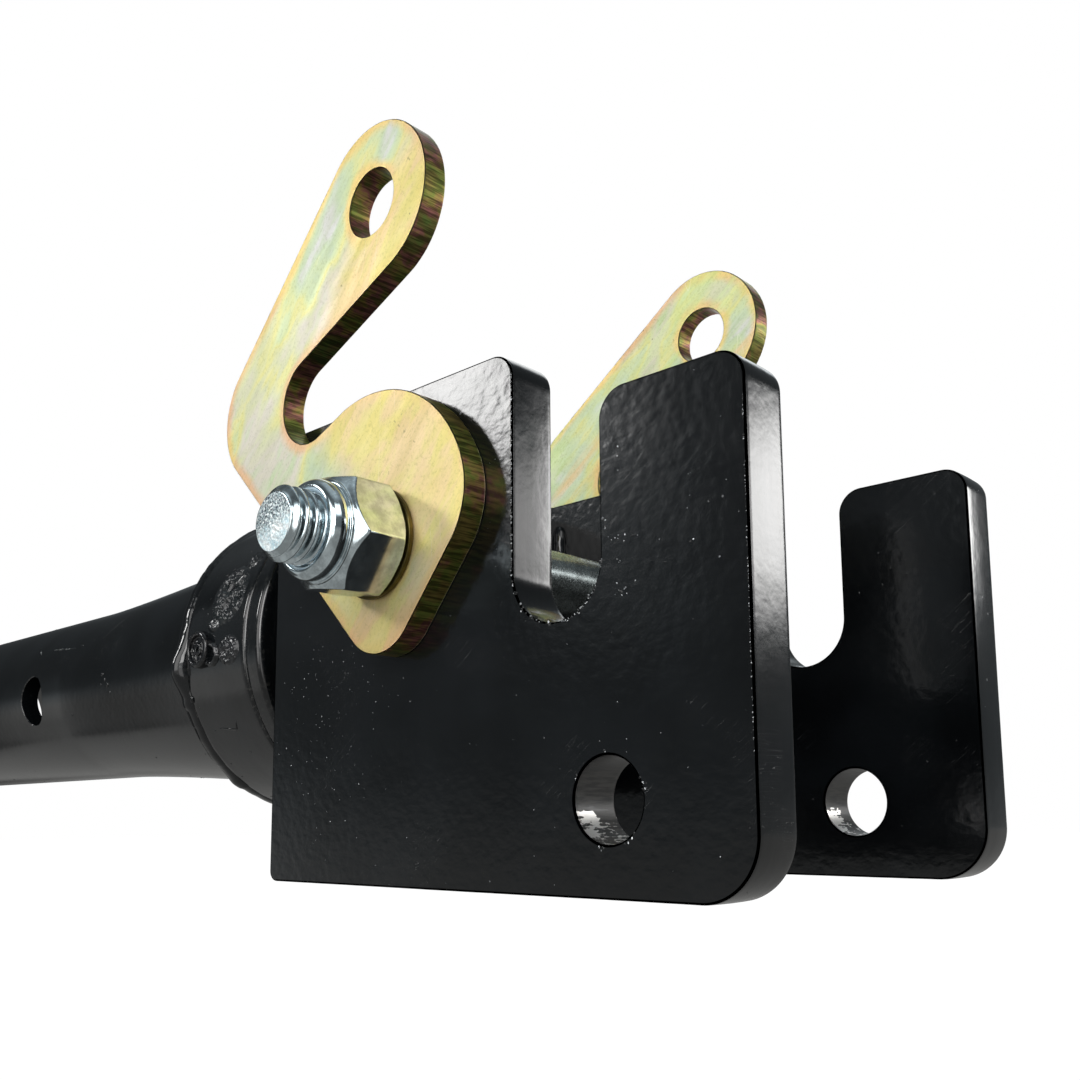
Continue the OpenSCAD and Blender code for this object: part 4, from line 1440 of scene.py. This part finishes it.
def tube_strip(shape, profile, flip):
    """Rings from (x, radius, normal along x, normal outward, edge) rows."""
    base = len(shape.verts)
    for x, radius, normal_x, normal_out, edge in profile:
        for j in range(TUBE_SEGMENTS):
            angle = math.pi / 2 + 2 * math.pi * j / TUBE_SEGMENTS
            cosine, sine = math.cos(angle), math.sin(angle)
            shape.add((x, radius * cosine, radius * sine),
                      (normal_x, normal_out * cosine, normal_out * sine), edge=edge)
    shape.bands(base, len(profile), TUBE_SEGMENTS, flip)


def stations(start, end, steps):
    """Places along X from start to end with their steps outside, at and past the hole."""
    stops = (start, HOLE_X - 14, HOLE_X + 14, end)
    places = []
    for first, last, step in zip(stops, stops[1:], steps):
        count = max(1, int(round((last - first) / step)))
        places += [first + (last - first) * i / count for i in range(count)]
    return places + [stops[-2] + (end - stops[-2]) * count / count]


def set_normals_by_place(mesh, shape):
    """Corner normals from the shape's own, picking at seams the one nearest the face's."""
    tree = KDTree(len(shape.verts))
    for i, vert in enumerate(shape.verts):
        tree.insert(Vector(vert) * MM, i)
    tree.balance()
    normals = []
    for polygon in mesh.polygons:
        for vertex in polygon.vertices:
            best, chosen = -2.0, polygon.normal
            for _, i, _ in tree.find_range(mesh.vertices[vertex].co, 3e-6):
                normal = Vector(shape.normals[i]).normalized()
                match = normal.dot(polygon.normal)
                if match > best:
                    best, chosen = match, normal
            normals.append(chosen if best > 0.5 else polygon.normal)
    mesh.normals_split_custom_set(normals)
    mesh.update()


def shank_tube():
    shape = Shape("edge")
    tube_wall(shape, tube_radius, stations(TUBE_REAR + 1.0, REAR_PLATE_REAR, (6.0, 1.6, 3.0)),
              outer=True)
    tube_wall(shape, lambda x: TUBE_BORE_R, stations(TUBE_REAR + 0.6, TUBE_FRONT, (7.0, 2.0, 7.0)),
              outer=False)
    for side in (-1, 1):
        tube_hole(shape, side)
    # rounded rear end: outer corner, then inner corner
    rear = []
    for k in range(6):
        turn = math.pi / 2 * k / 5
        sine, cosine = math.sin(turn), math.cos(turn)
        rear.append((TUBE_REAR + 1 - sine, TUBE_R - 1 + cosine, -sine, cosine,
                     math.sin(2 * turn)))
    for k in range(5):
        turn = math.pi / 2 * k / 4
        sine, cosine = math.sin(turn), math.cos(turn)
        rear.append((TUBE_REAR + 0.6 - 0.6 * cosine, TUBE_BORE_R + 0.6 - 0.6 * sine,
                     -cosine, -sine, math.sin(2 * turn)))
    tube_strip(shape, rear, flip=False)
    # front end inside the housing: outer wall, then end face
    tube_strip(shape, [(REAR_PLATE_REAR, BELL_R, 0, 1, 0), (TUBE_FRONT, BELL_R, 0, 1, 0)], True)
    tube_strip(shape, [(TUBE_FRONT, BELL_R, 1, 0, 0), (TUBE_FRONT, TUBE_BORE_R, 1, 0, 0)], True)
    # turn the whole tube so that the cross hole leans
    cosine, sine = math.cos(HOLE_TURN), math.sin(HOLE_TURN)
    for rows in (shape.verts, shape.normals):
        rows[:] = [(x, y * cosine - z * sine, y * sine + z * cosine) for x, y, z in rows]
    obj = shape.build("shank_tube_body")
    recalculate(obj.data, merge=2e-6)
    set_normals_by_place(obj.data, shape)
    return obj


finish_black(shank_tube(), "shank", paint_tube, "shank_tube")

# --------------------------------------------------------------------------
# inside of the fork
# --------------------------------------------------------------------------

CAD_MATERIALS = {
    "fork_back_plate": paint_inner, "front_bush": bronze_bush, "rear_bush": bronze_bush,
    "thrust_washer": bronze_bush, "swivel_spindle": zinc_hidden, "rear_washer": zinc_hidden,
    "castle_nut": zinc_hidden, "split_pin": zinc_hidden,
}
CAD_BEVELS = {"fork_back_plate": 0.8, "castle_nut": 0.35, "rear_washer": 0.4,
              "swivel_spindle": 0.4}
for name, material in CAD_MATERIALS.items():
    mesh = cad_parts[name].data
    mesh.materials.clear()
    mesh.materials.append(material)
    for polygon in mesh.polygons:
        polygon.material_index = 0
for name, width in CAD_BEVELS.items():
    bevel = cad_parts[name].modifiers.new("edges", "BEVEL")
    bevel.width = width * MM
    bevel.segments = 3
    bevel.limit_method = "ANGLE"
    bevel.angle_limit = math.radians(40)
    bevel.harden_normals = True


def corner_beads():
    """Beads in the two inside corners where the fork plates meet the back plate."""
    around, rows = 20, 260
    z0, z1 = back_plate_low[2] + 1.5, back_plate_high[2] - 1.5
    shape = Shape()
    for sign in (-1, 1):
        base = len(shape.verts)
        for k in range(rows + 1):
            share = k / rows
            z = z0 + (z1 - z0) * share
            taper = math.sqrt(max(0.02, 1 - (2 * share - 1) ** 14))
            width = (1.9 + 0.3 * fractal(z * 0.12, sign * 4, 0, 41)) * taper
            for i in range(around):
                turn = 2 * math.pi * i / around
                u, v = math.cos(turn), math.sin(turn)
                phase = z / 2.3 + 0.9 * (u + v * sign) * 0.4
                size = (1 + 0.06 * (1 - abs(math.sin(math.pi * phase)) ** 0.6)
                        + 0.06 * fractal(z * 0.5, u * 1.5, v * 1.5, 43 + sign))
                shape.add((back_plate_high[0] + 0.4 + width * 0.95 * u * size,
                           sign * INNER_Y - sign * 0.4 + width * 0.95 * v * size, z))
        shape.bands(base, rows + 1, around)
        last = base + rows * around
        shape.face(range(base, base + around))
        shape.face(range(last, last + around), flip=True)
    return shape.build("fork_weld_beads", outward=True)


finish_black(corner_beads(), "fork", paint_inner, "fork_welds")

# --------------------------------------------------------------------------
# paint nibs, spatter and dust
# --------------------------------------------------------------------------


def domes(name, items):
    """Small rounded lumps from (place, outward direction, radius, height) rows."""
    columns, rings, sunk = 10, 4, 0.04
    along = Vector((1, 0, 0))
    shape = Shape()
    for place, outward, radius, height in items:
        outward, place = Vector(outward).normalized(), Vector(place)
        across = outward.cross(along)
        base = len(shape.verts)
        for k in range(rings):
            lift = math.pi / 2 * k / rings
            for i in range(columns):
                angle = 2 * math.pi * i / columns
                size = radius * math.cos(lift) * (1 + 0.22 * math.sin(2 * angle + place.x)
                                                  + 0.12 * math.sin(3 * angle + place.z))
                shape.add(place + along * (size * math.cos(angle))
                          + across * (size * math.sin(angle))
                          + outward * (height * math.sin(lift) - sunk))
        shape.add(place + outward * (height - sunk))
        shape.bands(base, rings, columns)
        top = base + rings * columns
        for i in range(columns):
            shape.face((top - columns + i, top - columns + (i + 1) % columns, top))
        shape.face(range(base, base + columns), flip=True)
    return shape.build(name, outward=True)


draw = random.Random(11)
# plate faces: y and the direction they look along Y
RIGHT_OUTER, LEFT_INNER, LEFT_OUTER = (-OUTER_Y, -1), (INNER_Y, -1), (OUTER_Y, 1)
LATCH_SWEEP_R, RUNNING_GAP = 95, 0.105


def cluster(face, x, z, smallest, largest, count=1, spread=(0, 0)):
    """Lumps scattered about a place on a plate face, mostly near the smallest size."""
    y, side = face
    items = []
    for _ in range(count):
        radius = smallest + (largest - smallest) * draw.random() ** 2
        lump_x, lump_z = x + draw.gauss(0, spread[0]), z + draw.gauss(0, spread[1])
        height = radius * 0.75
        # lumps stay below the running gap wherever a latch passes over the outer face
        reach = math.hypot(lump_x - PIVOT_X, lump_z - PIVOT_Z)
        if side * y > OUTER_Y - 0.5 and reach < LATCH_SWEEP_R:
            height = min(height, RUNNING_GAP)
        items.append(((lump_x, y, lump_z), (0, side, 0), radius, height))
    return items


def on_plate(x, z):
    """True where a fork plate has metal."""
    if not (REAR_X + 1.2 < x < FRONT_X - 1.2 and BASE_Z + 1.2 < z < REAR_TOP - 1.5):
        return False
    if x > 0 and z > FRONT_TOP - 1.5:
        return False
    if abs(x) < SLOT_R + 0.8 and z > 0 or math.hypot(x, z) < SLOT_R + 0.8:
        return False
    return (math.hypot(x - LOCK_X, z - LOCK_Z) > 9.2
            and math.hypot(x - PIVOT_X, z - PIVOT_Z) > 13)


def random_place():
    return draw.uniform(REAR_X, FRONT_X), draw.uniform(BASE_Z, REAR_TOP)


def sprinkle(smallest, largest, tries):
    """Single lumps anywhere on the outer face of the right plate."""
    items = []
    for _ in range(tries):
        x, z = random_place()
        if on_plate(x, z):
            items += cluster(RIGHT_OUTER, x, z, smallest, largest)
    return items


# groups of nibs on the right plate: x, z, smallest, largest, count, spread in x and z
NIB_CLUSTERS = (
    (16.5, 2.2, 0.14, 0.36, 16, (1.6, 0.9)), (16.5, -8.0, 0.14, 0.36, 15, (1.4, 0.9)),
    (16.2, -3.0, 0.10, 0.2, 6, (0.7, 1.6)), (16.3, 17.8, 0.14, 0.3, 5, (0.5, 1.1)),
    *((x, z, 0.2, 0.34, 1, (0.05, 0.05)) for x, z in (
        (26.7, -4.1), (32.9, -1.0), (32.2, -1.2), (25.5, 0.3), (26.1, 0.1), (31.8, 4.8),
        (36.1, 13.9), (38.2, -5.0), (13.8, 27.0))),
    (32.4, 10.7, 0.1, 0.2, 6, (0.12, 1.7)), (12.6, 5.6, 0.2, 0.4, 5, (0.3, 0.9)),
)
# pairs of nibs round a circle: x, z, radius, spread, smallest, largest, angles in degrees
NIB_CIRCLES = (
    (0, 0, SLOT_R + 0.35, 0.25, 0.22, 0.45,
     (200, 215, 222, 236, 262, 283, 300, 304, 318, 352)),
    (LOCK_X, LOCK_Z, 8.75, 0.3, 0.18, 0.42, (12, 18, 25, 95, 150, 255, 262, 300, 312)),
)


def right_plate_nibs():
    nibs = []
    for row in NIB_CLUSTERS:
        nibs += cluster(RIGHT_OUTER, *row)
    for x, z, radius, spread, smallest, largest, angles in NIB_CIRCLES:
        for degrees in angles:
            angle = math.radians(degrees)
            nibs += cluster(RIGHT_OUTER, x + radius * math.cos(angle),
                            z + radius * math.sin(angle), smallest, largest, 2, (spread, spread))
    nibs += sprinkle(0.07, 0.22, tries=90)
    # rows of fine nibs down the rear edge of the slot, the front edge and round the seat; every
    # second nib goes pale below, a painted highlight along these edges
    for _ in range(210):
        nibs += cluster(RIGHT_OUTER, -SLOT_R - 0.42 + draw.uniform(-0.14, 0.14),
                        draw.uniform(-1, REAR_TOP - 5), 0.12, 0.24)
    for _ in range(150):
        nibs += cluster(RIGHT_OUTER, FRONT_X - 0.62 + draw.uniform(-0.08, 0.08),
                        draw.uniform(BASE_Z + 24, FRONT_TOP - 9), 0.09, 0.20)
    for _ in range(60):
        angle = math.radians(draw.uniform(184, 356))
        nibs += cluster(RIGHT_OUTER, (SLOT_R + 0.45) * math.cos(angle),
                        (SLOT_R + 0.45) * math.sin(angle), 0.14, 0.30, spread=(0.12, 0.12))
    return nibs


def right_plate_dust():
    dust = []
    for _ in range(150):
        x, z = draw.gauss(-72, 13), draw.gauss(-22, 15)
        if on_plate(x, z) and z < 8:
            dust += cluster(RIGHT_OUTER, x, z, 0.07, 0.19)
    return dust + sprinkle(0.05, 0.12, tries=150)


def left_plate_nibs():
    nibs = []
    for _ in range(120):
        x, z = random_place()
        if on_plate(x, z):
            nibs += cluster(draw.choice((LEFT_INNER, LEFT_OUTER)), x, z, 0.08, 0.34)
    nibs += cluster(LEFT_INNER, 27.0, 12.0, 0.12, 0.3, count=7, spread=(2.6, 2.0))
    return nibs + cluster(LEFT_INNER, -34.0, 22.0, 0.2, 0.5, count=14, spread=(7.0, 5.0))


nibs = right_plate_nibs()
finish_black(domes("right_fork_plate_nibs", nibs[0::2]), "fork", paint_weld)
# every second nib is made pale and smaller: painted glints standing in for the highlights that
# nibs and edges catch
painted_glint_nibs = [(place, outward, radius * 0.72, height * 0.72)
             for place, outward, radius, height in nibs[1::2]]
finish_black(domes("right_fork_plate_painted_glint_nibs", painted_glint_nibs), "fork", painted_glint_material)
finish_black(domes("right_fork_plate_dust", right_plate_dust()), "fork", dust_material)
finish_black(domes("left_fork_plate_nibs", left_plate_nibs()), "fork", paint_left)


def on_round(x, degrees, radius, wall_radius, flatness=0.7):
    """Lump on a cylinder about X."""
    angle = math.radians(degrees)
    cosine, sine = math.cos(angle), math.sin(angle)
    return ((x, wall_radius * cosine, wall_radius * sine), (0, cosine, sine),
            radius, radius * flatness)


# x, angle
HOUSING_NIBS = ((-128.6, 157.3), (-136.5, 151.1), (-131.0, 148.0), (-126.0, 146.5),
                (-139.0, 153.0), (-137.8, 174.5), (-136.0, 173.0))
# x, angle, radius
TUBE_NIBS = ((-230.4, 178.0, 0.9), (-228.2, 181.5, 0.7), (-226.0, 185.0, 0.9),
             (-224.4, 189.5, 0.6), (-231.5, 184.0, 0.5), (-258.6, 199.4, 0.6),
             (-219.0, 133.0, 0.5), (-217.4, 137.5, 0.4), (-247.5, 152.0, 0.35),
             (-235.6, 162.4, 0.4))

nibs = [on_round(x, degrees, draw.uniform(0.3, 0.55), HOUSING_R) for x, degrees in HOUSING_NIBS]
nibs.append(on_round(-151.6, 198.4, 1.0, HOUSING_R - 0.1, 0.8))
for _ in range(46):
    nibs.append(on_round(draw.uniform(HOUSING_REAR + 1, HOUSING_FRONT - 2),
                         draw.uniform(0, 360), draw.uniform(0.08, 0.3), HOUSING_R))
finish_black(domes("swivel_housing_nibs", nibs), "shank", paint_weld)

nibs = [on_round(x, degrees, radius, tube_radius(x), 0.45) for x, degrees, radius in TUBE_NIBS]
for _ in range(120):
    x = draw.uniform(TUBE_REAR + 4, REAR_PLATE_REAR - 6)
    nibs.append(on_round(x, draw.uniform(0, 360), draw.uniform(0.08, 0.3), tube_radius(x)))
finish_black(domes("shank_tube_nibs", nibs), "shank", paint_weld)


def raised_line(name, stops, wall_radius, thickness):
    """Thin raised run in the paint along (x, degrees) stops on a cylinder."""
    columns, count = 8, len(stops)
    path = [Vector((x, wall_radius * math.cos(math.radians(degrees)),
                    wall_radius * math.sin(math.radians(degrees)))) for x, degrees in stops]
    shape = Shape()
    for k, place in enumerate(path):
        along = (path[min(k + 1, count - 1)] - path[max(k - 1, 0)]).normalized()
        outward = Vector((0, place.y, place.z)).normalized()
        across = along.cross(outward).normalized()
        width = (thickness * (0.35 + 0.65 * math.sin(math.pi * (k + 0.5) / count))
                 * (1 + 0.3 * single_noise(k * 0.5, 0, 0, 51)))
        for i in range(columns):
            angle = 2 * math.pi * i / columns
            shape.add(place + across * (width * math.cos(angle))
                      + outward * (width * math.sin(angle) * 0.8))
    shape.bands(0, count, columns)
    last = (count - 1) * columns
    shape.face(range(columns))
    shape.face(range(last, last + columns), flip=True)
    return shape.build(name, outward=True)


run = [(-142.4 + 0.62 * k, 210.2 + 0.09 * k) for k in range(13)]
run += [(-134.2 + 0.18 * k, 210.9 - 0.42 * k) for k in range(7)]
finish_black(raised_line("swivel_housing_paint_run", run, HOUSING_R, 0.32), "shank", paint_weld)

# start x and angle, end x and angle, thickness
TUBE_MARKS = ((-296.0, 148.5, -293.0, 152.5, 0.35), (-282.0, 151.0, -262.0, 154.0, 0.30),
              (-258.0, 152.5, -254.5, 154.5, 0.35))
for i, (x0, angle0, x1, angle1, thickness) in enumerate(TUBE_MARKS):
    stops = [(x0 + (x1 - x0) * k / 24,
              angle0 + (angle1 - angle0) * k / 24 + 0.7 * single_noise(k * 0.4, i, 0, 53))
             for k in range(25)]
    finish_black(raised_line("shank_tube_mark_%d" % i, stops, TUBE_R, thickness),
                 "shank", paint_scuffed)

# --------------------------------------------------------------------------
# stage: pale floor, soft light, camera
# --------------------------------------------------------------------------

scene = bpy.context.scene
scene.view_settings.view_transform = "Standard"
scene.view_settings.look = "None"
scene.view_settings.exposure = 0.0
scene.view_settings.gamma = 1.0


def make_floor():
    """Glowing floor seen by the camera only."""
    half, level = 6.0, -0.150
    mesh = bpy.data.meshes.new("floor")
    mesh.from_pydata([(-half, -half, level), (half, -half, level), (half, half, level),
                      (-half, half, level)], [], [(0, 1, 2, 3)])
    floor = bpy.data.objects.new("floor", mesh)
    scene.collection.objects.link(floor)
    material = bpy.data.materials.new("pale_floor")
    material.use_nodes = True
    tree = material.node_tree
    tree.nodes.clear()
    glow = add_node(tree, "ShaderNodeEmission", {"Color": (1, 1, 1), "Strength": 0.97})
    matt = add_node(tree, "ShaderNodeBsdfDiffuse", {"Color": (0.08, 0.08, 0.08)})
    both = add_node(tree, "ShaderNodeAddShader", {0: glow, 1: matt})
    connect_output(tree, "ShaderNodeOutputMaterial", both)
    mesh.materials.append(material)
    floor.visible_glossy = False
    floor.visible_diffuse = False
    floor.visible_transmission = False
    floor.visible_shadow = False


# Soft-edged light panels in the sky, in degrees. Azimuth is counted from +X towards +Y:
# azimuth from and to, elevation from and to, softness in azimuth and elevation, brightness
SKY_PANELS = (
    (-142.5, -133.5, 18.5, 29, 1.2, 1.5, 16.5),  # key panel, left of the camera
    (-133.5, -126.5, 10, 30, 2.0, 4.0, 0.32),    # its spill
    (-106, -72, -6, 34, 5.0, 6.0, 3.0),          # broad panel beside the camera
    (-158.2, -146, -13, 3, 1.0, 2.5, 0.20),      # low pale patch beside the dark stretch
    (-66, -44, -12, 8, 2.5, 3.0, 1.6),           # low part of the window
    (-66, -44, 6, 34, 2.5, 3.0, 8.5),            # window behind the camera
    (50, 65.5, 11.0, 20.0, 2.0, 2.2, 9.6),       # back panel
    (34, 52, 11.0, 18.5, 2.0, 2.2, 4.2),         # dimmer panel beside it
    (112, 148, -2, 16, 5, 4, 1.6),               # pale wall beyond the object
    (-40, 20, 26, 48, 6, 5, 2.2),                # front right fill
    (100, 148, 30, 50, 8, 6, 1.8),               # far side fill
)


def make_world():
    """Dim room with light panels; white where the camera sees it directly."""
    world = bpy.data.worlds.new("studio")
    scene.world = world
    world.use_nodes = True
    tree = world.node_tree
    tree.nodes.clear()
    x, y, z = add_node(tree, "ShaderNodeTexCoord", output="Generated").split()
    elevation = join("ARCSINE", z) * DEGREES
    azimuth = join("ARCTAN2", y, x) * DEGREES
    # grey table below the horizon, soft ceiling
    sky = elevation.remap(-3.0, 2.0, to=(0.36, 0.14)) + elevation.rise(48, 80) * 0.5
    # darker stretch of the room behind the shank; its border curves below the horizon
    below = join("MAXIMUM", elevation * -1.0, 0.0)
    from_border = azimuth - (-158.2 - 0.048 * below ** 1.8)
    dark = from_border.fall(-1.2, 1.2) * (azimuth < 0.0) * elevation.rise(-20.0, -18.8)
    dark = dark + azimuth.rise(150, 165) * elevation.rise(-15, -12)
    dark = dark * elevation.fall(26, 38)
    sky = mix_value(dark, sky, 0.050)
    for left, right, bottom, top, soft_side, soft_top, brightness in SKY_PANELS:
        panel = (azimuth.between(left - soft_side, left + soft_side,
                                 right - soft_side, right + soft_side)
                 * elevation.between(bottom - soft_top, bottom + soft_top,
                                     top - soft_top, top + soft_top))
        sky = sky + panel * brightness
    seen = add_node(tree, "ShaderNodeLightPath", output="Is Camera Ray") * 1.0
    room_tint = mix_color(elevation.rise(-6, 4), (1.0, 1.0, 0.975), (0.90, 1.0, 1.05))
    tint = mix_color(sky.rise(0.5, 2.5), room_tint, (1.0, 0.995, 0.985))
    light = add_node(tree, "ShaderNodeBackground", {"Color": mix_color(seen, tint, (1, 1, 1)),
                                                    "Strength": mix_value(seen, sky, 1.0)})
    connect_output(tree, "ShaderNodeOutputWorld", light)
    world.cycles.sampling_method = "MANUAL"
    world.cycles.sample_map_resolution = 1024


def make_camera():
    """Camera in front of the right side, looking rearwards and slightly up."""
    yaw, pitch, roll = (math.radians(degrees) for degrees in (42.599, 7.957, -0.457))
    x, y, z = 0.1433, -0.2100, -0.0490
    forward = Vector((-math.sin(yaw) * math.cos(pitch), math.cos(yaw) * math.cos(pitch),
                      math.sin(pitch)))
    level = Vector((math.cos(yaw), math.sin(yaw), 0))
    upright = level.cross(forward)
    right = level * math.cos(roll) + upright * math.sin(roll)
    up = upright * math.cos(roll) - level * math.sin(roll)
    data = bpy.data.cameras.new("camera")
    camera = bpy.data.objects.new("camera", data)
    scene.collection.objects.link(camera)
    data.sensor_fit = "HORIZONTAL"
    data.sensor_width = 36.0
    data.lens = 37.1102333
    data.shift_x = -0.0105768519
    data.shift_y = 0.112223148
    data.clip_start = 0.01
    data.clip_end = 100
    camera.matrix_world = Matrix((
        (right.x, up.x, -forward.x, x),
        (right.y, up.y, -forward.y, y),
        (right.z, up.z, -forward.z, z),
        (0, 0, 0, 1)))
    scene.camera = camera


make_floor()
make_world()
make_camera()

bpy.context.view_layer.update()
